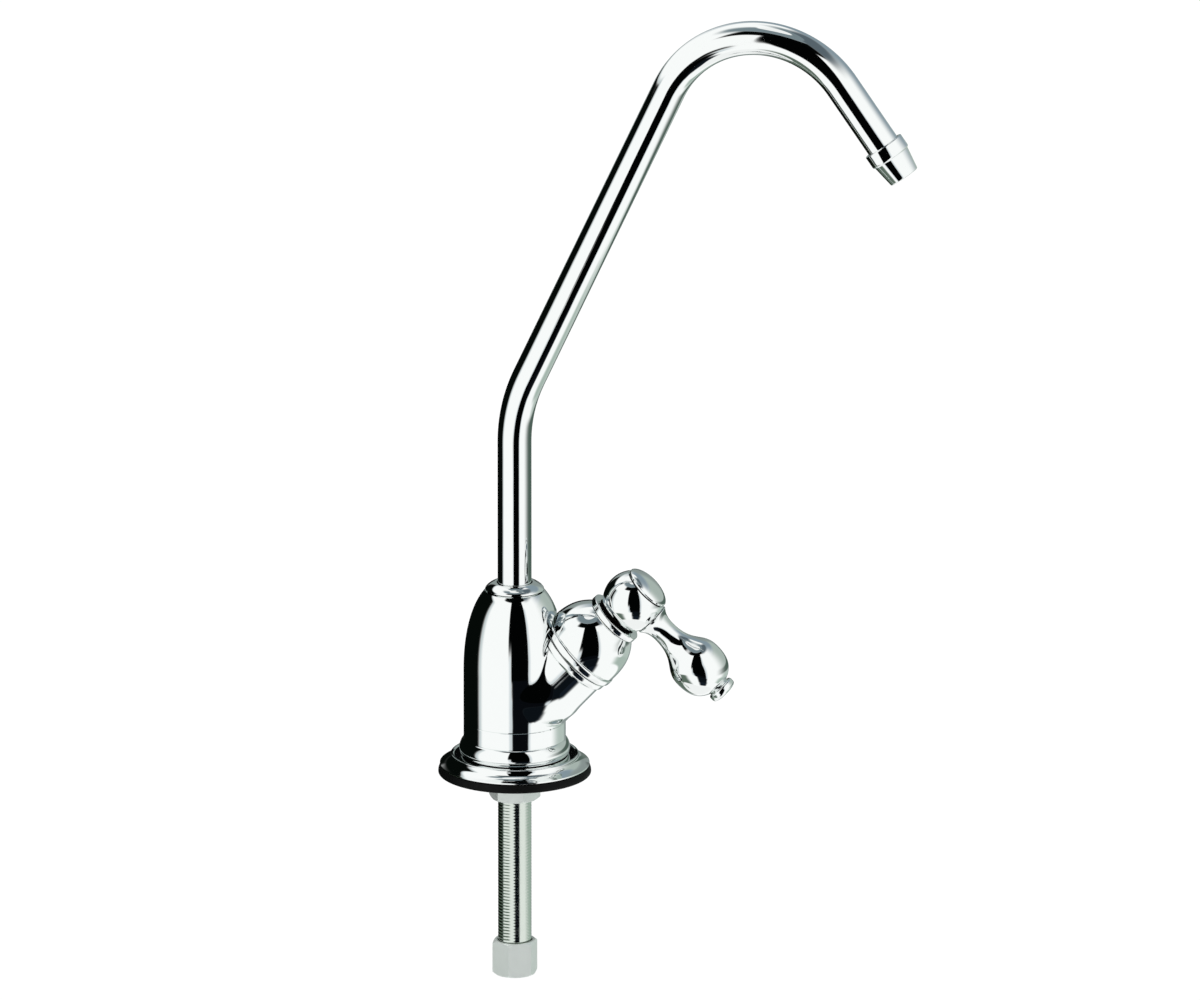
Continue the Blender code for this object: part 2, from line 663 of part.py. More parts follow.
def make_cartridge_body(brass, axis):
    groove = CARTRIDGE_SEAT - BODY_ORING_SECTION * 2
    half = BODY_ORING_SECTION / 2 + CLEARANCE
    floor = CHAMBER_RADIUS - ORING_SQUEEZE_GAP * 3 - BODY_ORING_SECTION
    form = turned([
        (STEM_BORE_RADIUS, CAVITY_TOP),
        (CAVITY_RADIUS, CAVITY_TOP),
        (CAVITY_RADIUS, CARTRIDGE_BOTTOM),
        (CARTRIDGE_RADIUS, CARTRIDGE_BOTTOM),
        (CARTRIDGE_RADIUS, groove - half),
        (floor, groove - half),
        (floor, groove + half),
        (CARTRIDGE_RADIUS, groove + half),
        (CARTRIDGE_RADIUS, SHOULDER_BOTTOM),
        (SPIGOT_RADIUS, SHOULDER_BOTTOM),
        (SPIGOT_RADIUS, SHOULDER_TOP),
        (NECK_RADIUS, SHOULDER_TOP),
        (NECK_RADIUS, NECK_TOP - CLEARANCE),
        (NECK_RADIUS - CLEARANCE, NECK_TOP),
        (STEM_BORE_RADIUS, NECK_TOP),
    ], SMALL_SEGMENTS)
    cartridge = add_body("cartridge_body", form, brass, axis)
    window_bottom = MOVING_DISC_BOTTOM + CLEARANCE
    for index, turn in enumerate((45.0, 135.0)):
        window = block(
            SPIGOT_RADIUS * 2, WINDOW_WIDTH, window_bottom, window_bottom + WINDOW_HEIGHT)
        cutter = add_cutter(f"cartridge_windows_{index + 1}", window, axis, turn=turn)
        combine(cartridge, cutter, "DIFFERENCE")


def make_cartridge_seals(rubber, axis):
    outer = CAVITY_RADIUS - CLEARANCE
    seal = washer(
        outer - SEAL_WIDTH, outer, SEAL_BOTTOM, SEAL_BOTTOM + SEAL_THICKNESS, SMALL_SEGMENTS)
    add_body("cartridge_seal", seal, rubber, axis)
    groove = CARTRIDGE_SEAT - BODY_ORING_SECTION * 2
    inner = CHAMBER_RADIUS - ORING_SQUEEZE_GAP - BODY_ORING_SECTION
    add_body("cartridge_oring", ring(inner, BODY_ORING_SECTION, groove), rubber, axis)


def cut_ports(disc, name, axis, first, bottom, top):
    for index, middle in enumerate((first, first + 180.0)):
        port = sector(DISC_PORT_INNER, DISC_PORT_OUTER, middle, DISC_PORT_SPAN, bottom, top)
        combine(disc, add_cutter(f"{name}_port_{index + 1}", port, axis), "DIFFERENCE")


def make_discs(ceramic, fixed_axis, moving_axis):
    """Two lapped discs: the ports of the moving one stand a quarter turn from the fixed one's."""
    low = FIXED_DISC_BOTTOM
    high = low + FIXED_DISC_THICKNESS
    fixed = add_body("fixed_disc", rod(DISC_RADIUS, low, high, MEDIUM_SEGMENTS), ceramic, fixed_axis)
    cut_ports(fixed, "fixed_disc", fixed_axis, 0.0, low - CLEARANCE, high + CLEARANCE)

    low = MOVING_DISC_BOTTOM
    high = low + MOVING_DISC_THICKNESS
    moving = add_body(
        "moving_disc", rod(DISC_RADIUS, low, high, MEDIUM_SEGMENTS), ceramic, moving_axis)
    cut_ports(moving, "moving_disc", moving_axis, 90.0, low - CLEARANCE, high + CLEARANCE)
    slot_width = STEM_KEY_WIDTH + CLEARANCE * 2
    slot_bottom = high - STEM_KEY_DEPTH - CLEARANCE / 2
    slot = block(DISC_RADIUS * 3, slot_width, slot_bottom, high + CLEARANCE)
    combine(moving, add_cutter("moving_disc_slot", slot, moving_axis), "DIFFERENCE")


def stem_oring_heights():
    middle = (SHOULDER_BOTTOM + NECK_TOP) / 2
    return middle - STEM_ORING_SPACING / 2, middle + STEM_ORING_SPACING / 2


def make_stem(brass, axis):
    groove = STEM_RADIUS - STEM_ORING_SECTION
    half = STEM_ORING_SECTION / 2 + CLEARANCE
    spline_bottom = STEM_TOP - STEM_SPLINE_LENGTH
    spline_root = STEM_RADIUS - STEM_SPLINE_DEPTH * 2
    clip_bottom = NECK_TOP + CLEARANCE / 2
    clip_top = clip_bottom + STEM_CLIP_THICKNESS + CLEARANCE
    outline = [
        (0.0, DRIVER_BOTTOM),
        (DISC_RADIUS, DRIVER_BOTTOM),
        (DISC_RADIUS, DRIVER_TOP),
        (STEM_RADIUS, DRIVER_TOP),
    ]
    for height in stem_oring_heights():
        outline += [
            (STEM_RADIUS, height - half),
            (groove, height - half),
            (groove, height + half),
            (STEM_RADIUS, height + half),
        ]
    outline += [
        (STEM_RADIUS, clip_bottom),
        (STEM_RADIUS - STEM_GROOVE_DEPTH, clip_bottom),
        (STEM_RADIUS - STEM_GROOVE_DEPTH, clip_top),
        (STEM_RADIUS, clip_top),
        (STEM_RADIUS, spline_bottom),
        (spline_root - STEM_SPLINE_DEPTH, spline_bottom),
        (spline_root - STEM_SPLINE_DEPTH, STEM_TOP),
        (SCREW_RADIUS + CLEARANCE, STEM_TOP),
        (SCREW_RADIUS + CLEARANCE, STEM_TOP - STEM_HOLE_DEPTH),
        (0.0, STEM_TOP - STEM_HOLE_DEPTH),
    ]
    stem = add_body("cartridge_stem", turned(outline, SMALL_SEGMENTS), brass, axis)

    key = block(
        DISC_RADIUS * 1.8, STEM_KEY_WIDTH, DRIVER_BOTTOM - STEM_KEY_DEPTH, DRIVER_BOTTOM + CLEARANCE)
    combine(stem, add_cutter("stem_key", key, axis), "UNION")

    spline = star(
        spline_root, STEM_RADIUS - STEM_SPLINE_DEPTH, STEM_SPLINE_TEETH,
        spline_bottom - CLEARANCE, STEM_TOP - CLEARANCE)
    splined = add_cutter("stem_spline", spline, axis)
    hole = rod(
        SCREW_RADIUS + CLEARANCE * 1.5, STEM_TOP - STEM_HOLE_DEPTH, STEM_TOP + CLEARANCE, SMALL_SEGMENTS)
    combine(splined, add_cutter("stem_hole", hole, axis), "DIFFERENCE")
    combine(stem, splined, "UNION")


def make_stem_rings(rubber, steel, axis):
    inner = STEM_BORE_RADIUS - ORING_SQUEEZE_GAP - STEM_ORING_SECTION
    for name, height in zip(("stem_oring_lower", "stem_oring_upper"), stem_oring_heights()):
        add_body(name, ring(inner, STEM_ORING_SECTION, height), rubber, axis)
    bottom = NECK_TOP + CLEARANCE
    hole = STEM_RADIUS - STEM_GROOVE_DEPTH + CLEARANCE
    span = 360.0 - STEM_CLIP_GAP
    clip = sector(hole, hole + STEM_CLIP_WIDTH, 0.0, span, bottom, bottom + STEM_CLIP_THICKNESS)
    add_body("stem_clip", clip, steel, axis)


def make_bonnet(chrome, axis):
    dome_radius = FLANGE_RADIUS - BONNET_DOME_INSET
    hollow = SPIGOT_RADIUS - BONNET_WALL
    rounding = BONNET_FLANGE_ROUND
    dome_start = FLANGE_TOP + CLEARANCE
    dome_height = BONNET_TOP - CLEARANCE - dome_start
    drop = dome_radius - BONNET_TOP_RADIUS
    flange_lower = arc(
        (FLANGE_RADIUS - rounding, FLANGE_BOTTOM + rounding), rounding, -90.0, 0.0, 2)
    flange_upper = arc((FLANGE_RADIUS - rounding, FLANGE_TOP - rounding), rounding, 0.0, 60.0, 2)
    dome = curve(
        (dome_radius, dome_start), (dome_radius, dome_start + dome_height * 0.42),
        (BONNET_TOP_RADIUS + drop * 0.77, BONNET_TOP - dome_height * 0.31),
        (BONNET_TOP_RADIUS, BONNET_TOP - CLEARANCE), 7)
    inside = [
        (BONNET_TOP_RADIUS - CLEARANCE, BONNET_TOP),
        (BONNET_HOLE_RADIUS, BONNET_TOP),
        (BONNET_HOLE_RADIUS, BONNET_TOP - BONNET_WALL),
        (hollow, BONNET_TOP - BONNET_WALL * 2),
        (hollow, SPIGOT_BOTTOM),
        (SPIGOT_RADIUS, SPIGOT_BOTTOM),
        (SPIGOT_RADIUS, FLANGE_BOTTOM),
    ]
    crease = [(dome_radius - CLEARANCE, FLANGE_TOP)]
    form = turned(outline_of(flange_lower, flange_upper, crease, dome, inside), BODY_SEGMENTS)
    add_body("bonnet", form, chrome, axis)


def make_hub(chrome, axis, lever_axis):
    """The handle's casting: skirt, deep-cut neck and ball, on the splined end of the stem."""
    skirt = HUB_SKIRT_RADIUS
    rounding = HUB_SKIRT_ROUND
    base = HUB_BOTTOM - BALL_CENTRE
    skirt_top = base + HUB_SKIRT_HEIGHT
    web_top = WEB_TOP - BALL_CENTRE
    web_bottom = WEB_BOTTOM - BALL_CENTRE
    top = CAP_SEAT - CLEARANCE - BALL_CENTRE
    counterbore = SCREW_HEAD_RADIUS + CLEARANCE * 2
    screw_hole = SCREW_RADIUS + CLEARANCE * 2
    recess = base + HUB_RECESS_DEPTH
    neck_top = skirt_top + HUB_NECK_HEIGHT
    neck_angle = math.degrees(math.asin(neck_top / BALL_RADIUS))
    top_angle = math.degrees(math.asin(top / BALL_RADIUS))
    outline = outline_of(
        [
            (screw_hole, recess),
            (skirt - HUB_RECESS_DEPTH, recess),
            (skirt - HUB_RECESS_DEPTH, base),
        ],
        arc((skirt - rounding, base + rounding), rounding, -90.0, 0.0, 2),
        arc((skirt - rounding, skirt_top - rounding), rounding, 0.0, 90.0, 2),
        [(HUB_NECK_RADIUS, skirt_top), (HUB_NECK_RADIUS, neck_top)],
        arc((0.0, 0.0), BALL_RADIUS, neck_angle, top_angle, 8),
        [(counterbore, top), (counterbore, web_top), (screw_hole, web_top)],
    )
    hub = add_body("handle_hub", turned(outline, MEDIUM_SEGMENTS), chrome, axis)

    bore = star(
        STEM_RADIUS - STEM_SPLINE_DEPTH * 2 + CLEARANCE, STEM_RADIUS - STEM_SPLINE_DEPTH + CLEARANCE,
        STEM_SPLINE_TEETH, recess - CLEARANCE, web_bottom)
    combine(hub, add_cutter("hub_broach", bore, axis), "DIFFERENCE")

    stud_hole = LEVER_STUD_RADIUS + CLEARANCE
    seat_radius = LEVER_ROOT_RADIUS + CLEARANCE * 2
    stud_end = LEVER_SEAT - LEVER_STUD_LENGTH
    seat = turned([
        (0.0, stud_end),
        (stud_hole, stud_end),
        (stud_hole, LEVER_SEAT),
        (seat_radius, LEVER_SEAT),
        (seat_radius, BALL_RADIUS + CLEARANCE),
        (0.0, BALL_RADIUS + CLEARANCE),
    ], SMALL_SEGMENTS)
    combine(hub, add_cutter("lever_seat", seat, lever_axis), "DIFFERENCE")


def make_screw(steel, axis):
    head_bottom = WEB_TOP - BALL_CENTRE + CLEARANCE
    head_top = head_bottom + SCREW_HEAD_HEIGHT
    form = turned([
        (0.0, head_bottom - SCREW_LENGTH),
        (SCREW_RADIUS * 0.7, head_bottom - SCREW_LENGTH),
        (SCREW_RADIUS, head_bottom - SCREW_LENGTH + CLEARANCE),
        (SCREW_RADIUS, head_bottom),
        (SCREW_HEAD_RADIUS, head_bottom),
        (SCREW_HEAD_RADIUS, head_top - CLEARANCE),
        (SCREW_HEAD_RADIUS - CLEARANCE, head_top),
        (0.0, head_top),
    ], SMALL_SEGMENTS)
    screw = add_body("handle_screw", form, steel, axis)
    socket = prism(
        arc((0.0, 0.0), SCREW_SOCKET_RADIUS, 0.0, 300.0, 5),
        head_top - SCREW_SOCKET_DEPTH, head_top + CLEARANCE)
    combine(screw, add_cutter("screw_socket", socket, axis), "DIFFERENCE")


def make_cap(chrome, axis):
    seat = CAP_SEAT - BALL_CENTRE
    plug = SCREW_HEAD_RADIUS + CLEARANCE
    rim = seat + CAP_RIM
    apex = rim + CAP_RISE
    dome = curve(
        (CAP_RADIUS, rim), (CAP_RADIUS * 0.9, rim + CAP_RISE * 0.55),
        (CAP_RADIUS * 0.5, apex), (0.0, apex), 5)
    plug_form = [
        (0.0, seat - CAP_PLUG_LENGTH),
        (plug, seat - CAP_PLUG_LENGTH),
        (plug, seat),
        (CAP_RADIUS - CLEARANCE, seat),
        (CAP_RADIUS, seat + CLEARANCE),
    ]
    form = turned(outline_of(plug_form, dome), MEDIUM_SEGMENTS)
    add_body("handle_cap", form, chrome, axis)


def make_lever(chrome, axis):
    """A turned teapot lever: flared root, slim waist, round belly and a small finial."""
    root = LEVER_SEAT + CLEARANCE
    waist = root + LEVER_WAIST_AT
    belly = root + LEVER_BELLY_AT
    end = root + LEVER_LENGTH
    tip = end + FINIAL_LENGTH
    growth = belly - waist
    stud = [
        (0.0, root - LEVER_STUD_LENGTH + CLEARANCE),
        (LEVER_STUD_RADIUS, root - LEVER_STUD_LENGTH + CLEARANCE),
        (LEVER_STUD_RADIUS, root),
        (LEVER_ROOT_RADIUS, root),
    ]
    flare = curve(
        (LEVER_ROOT_RADIUS, root + CLEARANCE), (LEVER_ROOT_RADIUS * 0.83, root + LEVER_WAIST_AT * 0.24),
        (LEVER_WAIST_RADIUS, root + LEVER_WAIST_AT * 0.49), (LEVER_WAIST_RADIUS, waist), 5)
    swell = curve(
        (LEVER_WAIST_RADIUS, waist), (LEVER_WAIST_RADIUS, waist + growth * 0.61),
        (LEVER_BELLY_RADIUS, belly - growth * 0.43), (LEVER_BELLY_RADIUS, belly), 7)
    close = curve(
        (LEVER_BELLY_RADIUS, belly), (LEVER_BELLY_RADIUS, belly + (end - belly) * 0.55),
        (LEVER_BELLY_RADIUS * 0.83, end - (end - belly) * 0.17), (LEVER_END_RADIUS, end), 6)
    finial = [
        (FINIAL_NECK_RADIUS, end + CLEARANCE),
        (FINIAL_RADIUS - CLEARANCE, end + CLEARANCE * 2),
        (FINIAL_RADIUS, end + CLEARANCE * 3.5),
        (FINIAL_RADIUS, tip - CLEARANCE * 4),
        (FINIAL_RADIUS * 0.93, tip - CLEARANCE * 2),
        (FINIAL_RADIUS * 0.7, tip - CLEARANCE * 0.5),
        (0.0, tip),
    ]
    form = turned(outline_of(stud, flare, swell, close, finial), SMALL_SEGMENTS)
    add_body("lever", form, chrome, axis)


def spout_stations():
    """Points of the tube's centre line in the spout's plane, each with its lean from upright."""
    lean = math.radians(SPOUT_LEAN)
    tip_lean = math.radians(SPOUT_TIP_LEAN)
    stations = [(0.0, TUBE_BOTTOM, 0.0)]

    steps = math.ceil(SPOUT_LEAN / DEGREES_PER_STEP)
    for step in range(steps + 1):
        angle = lean * step / steps
        across = LOWER_BEND_RADIUS * (1.0 - math.cos(angle))
        stations.append((across, SPOUT_RISE + LOWER_BEND_RADIUS * math.sin(angle), angle))

    across, height, _ = stations[-1]
    centre_across = across + SPOUT_LEG * math.sin(lean) + TOP_BEND_RADIUS * math.cos(lean)
    centre_height = height + SPOUT_LEG * math.cos(lean) - TOP_BEND_RADIUS * math.sin(lean)
    steps = math.ceil((SPOUT_TIP_LEAN - SPOUT_LEAN) / DEGREES_PER_STEP)
    for step in range(steps + 1):
        angle = lean + (tip_lean - lean) * step / steps
        across = centre_across - TOP_BEND_RADIUS * math.cos(angle)
        stations.append((across, centre_height + TOP_BEND_RADIUS * math.sin(angle), angle))

    across, height, _ = stations[-1]
    end = (across + SPOUT_TIP * math.sin(tip_lean), height + SPOUT_TIP * math.cos(tip_lean))
    stations.append((*end, tip_lean))
    return stations


def make_tube(chrome, axis):
    """The bent spout tube, open at both ends."""
    form = bmesh.new()
    loops = {TUBE_RADIUS: [], TUBE_RADIUS - TUBE_WALL: []}
    for across, height, lean in spout_stations():
        for radius, sections in loops.items():
            section = []
            for index in range(TUBE_SEGMENTS):
                angle = math.tau * index / TUBE_SEGMENTS
                out = radius * math.cos(angle)
                section.append(form.verts.new((
                    across + out * math.cos(lean), radius * math.sin(angle), height - out * math.sin(lean))))
            sections.append(section)
    outer, inner = loops.values()
    bands = list(zip(outer, outer[1:])) + list(zip(inner, inner[1:]))
    bands += [(outer[0], inner[0]), (outer[-1], inner[-1])]
    for near, far in bands:
        for index in range(TUBE_SEGMENTS):
            after = (index + 1) % TUBE_SEGMENTS
            form.faces.new((near[index], near[after], far[after], far[index]))
    bmesh.ops.recalc_face_normals(form, faces=form.faces)
    add_body("spout_tube", form, chrome, axis)


def make_nozzle(chrome, axis):
    """The ring and cone on the tube's free end."""
    across, height, lean = spout_stations()[-1]
    start = -NOZZLE_GRIP
    ring_end = start + NOZZLE_RING_LENGTH
    end = start + NOZZLE_LENGTH
    edge = CLEARANCE
    form = turned([
        (TUBE_PASS_RADIUS, start),
        (NOZZLE_RING_RADIUS - edge, start),
        (NOZZLE_RING_RADIUS, start + edge),
        (NOZZLE_RING_RADIUS, ring_end - edge),
        (NOZZLE_RING_RADIUS - edge, ring_end),
        (NOZZLE_SHOULDER_RADIUS, ring_end + edge),
        (NOZZLE_END_RADIUS, end - edge),
        (NOZZLE_END_RADIUS - edge, end),
        (NOZZLE_BORE_RADIUS, end),
        (NOZZLE_BORE_RADIUS, CLEARANCE),
        (TUBE_PASS_RADIUS, CLEARANCE),
    ], SMALL_SEGMENTS)
    nozzle = add_body("spout_nozzle", form, chrome, axis)
    nozzle.location = (across, 0.0, height)
    nozzle.rotation_euler = (0.0, lean, 0.0)


def spout_oring_heights():
    middle = (SLEEVE_BOTTOM + SLEEVE_TOP) / 2
    return middle - SPOUT_ORING_SPACING / 2, middle + SPOUT_ORING_SPACING / 2


def make_sleeve(brass, axis):
    """The sleeve soldered to the tube's foot, grooved for its two seals."""
    groove = SOCKET_RADIUS - ORING_SQUEEZE_GAP * 3 - SPOUT_ORING_SECTION
    half = SPOUT_ORING_SECTION / 2 + CLEARANCE
    outline = [
        (TUBE_RADIUS - TUBE_WALL, SLEEVE_BOTTOM),
        (SLEEVE_RADIUS - CLEARANCE, SLEEVE_BOTTOM),
        (SLEEVE_RADIUS, SLEEVE_BOTTOM + CLEARANCE),
    ]
    for height in spout_oring_heights():
        outline += [
            (SLEEVE_RADIUS, height - half),
            (groove, height - half),
            (groove, height + half),
            (SLEEVE_RADIUS, height + half),
        ]
    outline += [
        (SLEEVE_RADIUS, SLEEVE_TOP),
        (TUBE_PASS_RADIUS, SLEEVE_TOP),
        (TUBE_PASS_RADIUS, TUBE_BOTTOM - CLEARANCE),
        (TUBE_RADIUS - TUBE_WALL, TUBE_BOTTOM - CLEARANCE),
    ]
    add_body("spout_sleeve", turned(outline, RING_SEGMENTS), brass, axis)


def make_spout_seals(rubber, plastic, axis):
    inner = SOCKET_RADIUS - ORING_SQUEEZE_GAP - SPOUT_ORING_SECTION
    for name, height in zip(("spout_oring_lower", "spout_oring_upper"), spout_oring_heights()):
        add_body(name, ring(inner, SPOUT_ORING_SECTION, height), rubber, axis)
    slip = washer(
        TUBE_PASS_RADIUS, SLEEVE_RADIUS, SLEEVE_TOP + CLEARANCE, SLIP_WASHER_TOP, SMALL_SEGMENTS)
    add_body("slip_washer", slip, plastic, axis)


def make_collar(chrome, axis):
    """The screwed ring that holds the spout down, with a cone that closes round the tube."""
    seat = BODY_HEIGHT + CLEARANCE
    top = seat + COLLAR_RISE
    top_radius = TUBE_PASS_RADIUS + COLLAR_LIP
    skirt = RIDGE_RADIUS - CLEARANCE / 2
    slope = curve(
        (skirt, seat + CLEARANCE), (skirt - 0.0004, seat + COLLAR_RISE * 0.5),
        (top_radius + COLLAR_LIP * 1.6, top - CLEARANCE), (top_radius, top), 5)
    inside = [
        (TUBE_PASS_RADIUS, top),
        (TUBE_PASS_RADIUS, COLLAR_BOTTOM),
        (COLLAR_SPIGOT_RADIUS, COLLAR_BOTTOM),
        (COLLAR_SPIGOT_RADIUS, seat),
        (skirt - CLEARANCE, seat),
    ]
    form = turned(outline_of(slope, inside), MEDIUM_SEGMENTS)
    add_body("spout_collar", form, chrome, axis)


def build():
    clear_scene()
    chrome = make_material("polished_chrome", (0.86, 0.88, 0.87), 0.05, 1.0)
    nickel = make_material("satin_nickel", (0.62, 0.64, 0.58), 0.32, 1.0)
    steel = make_material("zinc_plated_steel", (0.55, 0.57, 0.58), 0.38, 1.0)
    brass = make_material("machined_brass", (0.72, 0.53, 0.24), 0.3, 1.0)
    rubber = make_material("black_rubber", (0.012, 0.012, 0.013), 0.6, 0.0)
    ceramic = make_material("lapped_ceramic", (0.86, 0.84, 0.78), 0.2, 0.0)
    plastic = make_material("natural_acetal", (0.8, 0.79, 0.74), 0.45, 0.0)

    base = add_axis("deck_origin")
    body_axis = add_axis("body_axis", base, height=BODY_FOOT)
    branch_axis = add_axis("branch_axis", body_axis, height=BRANCH_HEIGHT, tilt=BRANCH_TILT)
    stem_axis = add_axis("stem_axis", branch_axis)
    handle_axis = add_axis("handle_axis", stem_axis, height=BALL_CENTRE)
    lever_axis = add_axis("lever_axis", handle_axis, tilt=90.0)
    spout_axis = add_axis("spout_axis", body_axis, turn=SPOUT_TURN)

    make_gasket(rubber, base)
    make_plate(chrome, base)
    make_shank(nickel, base)
    washer_bottom = make_clamp_washer(steel, base)
    tooth_bottom = make_lock_washer(steel, base, washer_bottom)
    make_lock_nut(nickel, base, tooth_bottom)
    make_inlet_nut(nickel, base)
    make_ferrule(plastic, base)

    make_valve_body(chrome, body_axis, branch_axis)
    make_cartridge_body(brass, branch_axis)
    make_cartridge_seals(rubber, branch_axis)
    make_discs(ceramic, branch_axis, stem_axis)
    make_stem(brass, stem_axis)
    make_stem_rings(rubber, steel, stem_axis)
    make_bonnet(chrome, branch_axis)

    make_hub(chrome, handle_axis, lever_axis)
    make_screw(steel, handle_axis)
    make_cap(chrome, handle_axis)
    make_lever(chrome, lever_axis)

    make_tube(chrome, spout_axis)
    make_nozzle(chrome, spout_axis)
    make_sleeve(brass, spout_axis)
    make_spout_seals(rubber, plastic, spout_axis)
    make_collar(chrome, body_axis)


build()
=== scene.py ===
"""The looks of a drinking water faucet: mirror chrome, satin nickel and black rubber."""

import math

import bmesh
import bpy
import numpy as np
from mathutils import Matrix, Vector
from mathutils.geometry import interpolate_bezier


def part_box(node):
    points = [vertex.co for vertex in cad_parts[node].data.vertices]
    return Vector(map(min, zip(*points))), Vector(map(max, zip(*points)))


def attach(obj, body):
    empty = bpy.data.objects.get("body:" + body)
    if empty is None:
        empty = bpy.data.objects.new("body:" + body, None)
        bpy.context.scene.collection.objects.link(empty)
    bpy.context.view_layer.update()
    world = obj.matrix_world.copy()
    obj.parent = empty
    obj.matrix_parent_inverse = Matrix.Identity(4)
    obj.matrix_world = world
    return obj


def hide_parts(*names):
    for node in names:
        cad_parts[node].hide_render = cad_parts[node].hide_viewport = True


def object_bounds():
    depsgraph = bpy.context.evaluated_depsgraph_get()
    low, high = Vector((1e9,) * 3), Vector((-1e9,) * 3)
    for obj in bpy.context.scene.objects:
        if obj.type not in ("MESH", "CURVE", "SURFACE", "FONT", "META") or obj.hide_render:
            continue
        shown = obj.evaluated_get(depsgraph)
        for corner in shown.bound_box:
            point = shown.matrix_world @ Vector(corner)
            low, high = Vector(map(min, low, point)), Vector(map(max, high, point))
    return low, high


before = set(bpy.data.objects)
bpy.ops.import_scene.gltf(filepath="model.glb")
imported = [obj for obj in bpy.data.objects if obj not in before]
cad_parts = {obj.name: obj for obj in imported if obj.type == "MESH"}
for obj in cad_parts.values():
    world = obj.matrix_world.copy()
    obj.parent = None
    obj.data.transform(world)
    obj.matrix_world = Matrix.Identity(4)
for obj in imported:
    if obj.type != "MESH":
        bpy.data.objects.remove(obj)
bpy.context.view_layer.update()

# Camera, nearly parallel: the picture's width is what it spans at the faucet
CAMERA_AZIMUTH = 7.43
CAMERA_ELEVATION = 16.54
CAMERA_DISTANCE = 12.0
CLIP_START = 0.1
CLIP_END = 50.0
PICTURE_WIDTH = 0.39688
AIM_ACROSS = 0.0282
AIM_UP = 0.08988
SENSOR_WIDTH = 36.0

# Sizes shared with the solids, in metres and degrees
CLEARANCE = 0.0003
GASKET_RADIUS = 0.0253
GASKET_THICKNESS = 0.0027
GASKET_DRAFT = 0.00055
GASKET_RELIEF_RADIUS = 0.0125
GASKET_RELIEF_DEPTH = 0.0004
PLATE_RADIUS = 0.02475
PLATE_LIP_RADIUS = 0.0214
PLATE_LIP_WIDTH = 0.0014
PLATE_LIP_RISE = 0.0003
PLATE_HEIGHT = 0.0035
PLATE_WALL = 0.0014
PLATE_HUB_WALL = 0.0023
PLATE_FLARE_START = 0.0006
PLATE_FLARE_SWEEP = 0.0016
SHANK_RADIUS = 0.00555
THREAD_HOLE_RADIUS = SHANK_RADIUS + CLEARANCE
SHANK_BORE_RADIUS = 0.0032
SHANK_GRIP = 0.0084
SHANK_FLARE = 0.0012
NUT_CHAMFER = 0.00105
LOCK_NUT_FLATS = 0.015
LOCK_NUT_TURN = -3.0
INLET_NUT_FLATS = 0.01327
INLET_NUT_TURN = 22.0
INLET_NUT_FLOOR = 0.0015
FERRULE_SEAT_DEPTH = 0.0005
FERRULE_NOSE = 0.0012
TUBE_HOLE_RADIUS = 0.0034
BODY_RADIUS = 0.0169
FOOT_FLARE = 0.00075
FOOT_BULGE = 0.0015
FOOT_HEIGHT = 0.0052
FOOT_RECESS_DEPTH = 0.004
FOOT_WALL = 0.0026
BAND_HEIGHT = 0.006
GROOVE_DEPTH = 0.0002
GROOVE_WIDTH = 0.0004
SHOULDER_HEIGHT = 0.0271
SOCKET_DEPTH = 0.0165
SOCKET_RADIUS = 0.00795
RIDGE_RADIUS = 0.0099
SOCKET_MOUTH_RADIUS = 0.0088
BRANCH_TILT = 45.0
BRANCH_HEIGHT = 0.0142
BRANCH_START = 0.006
BRANCH_REACH = 0.029
BRANCH_RADIUS = 0.0134
BRANCH_TAPER = 0.0007
BEAD_HEIGHT = 0.0006
BEAD_LENGTH = 0.002
CHAMBER_RADIUS = 0.0091
MOUTH_RADIUS = 0.0113
CARTRIDGE_SEAT = 0.024
CARTRIDGE_INSERT = 0.015
FLANGE_RADIUS = 0.0146
FLANGE_HEIGHT = 0.0027
FLANGE_ROUND = 0.0007
NOTCH_MARGIN = 0.0005
BONNET_TOP_RADIUS = 0.0095
BONNET_HEIGHT = 0.0165
BONNET_DOME_INSET = 0.0003
BONNET_WALL = 0.0021
BONNET_HOLE_RADIUS = 0.007
SPIGOT_RADIUS = 0.011
SPIGOT_LENGTH = 0.0027
SKIRT_RADIUS = 0.0097
SKIRT_HEIGHT = 0.002
SKIRT_ROUND = 0.0003
SKIRT_RECESS = 0.0011
HUB_NECK_RADIUS = 0.0064
HUB_NECK_HEIGHT = 0.0009
HUB_BORE_RADIUS = 0.0038
BALL_RADIUS = 0.0102
BALL_RISE = 0.0099
CAP_RADIUS = 0.008
CAP_RIM = 0.0006
CAP_RISE = 0.0026
CAP_PLUG_RADIUS = 0.0035
CAP_PLUG_LENGTH = 0.002
LEVER_SEAT = 0.0083
LEVER_ROOT_RADIUS = 0.0059
LEVER_WAIST_RADIUS = 0.004
LEVER_WAIST_AT = 0.0059
LEVER_BELLY_RADIUS = 0.0092
LEVER_BELLY_AT = 0.0216
LEVER_END_RADIUS = 0.0038
LEVER_LENGTH = 0.0313
LEVER_STUD_RADIUS = 0.0025
LEVER_STUD_LENGTH = 0.0029
FINIAL_RADIUS = 0.0047
FINIAL_LENGTH = 0.0036
FINIAL_NECK_RADIUS = 0.0034
TUBE_RADIUS = 0.0056
TUBE_WALL = 0.001
TUBE_FOOT = 0.0012
SPOUT_RISE = 0.10715
SPOUT_TURN = -8.0
LOWER_BEND_RADIUS = 0.053
SPOUT_LEAN = 25.06
SPOUT_LEG = 0.1129
TOP_BEND_RADIUS = 0.0343
SPOUT_TIP_LEAN = 144.2
SPOUT_TIP = 0.0275
COLLAR_RISE = 0.0026
COLLAR_LIP = 0.0007
COLLAR_SLOPE = 0.0004
COLLAR_SPIGOT_RADIUS = 0.0085
COLLAR_SPIGOT_DEPTH = 0.0042
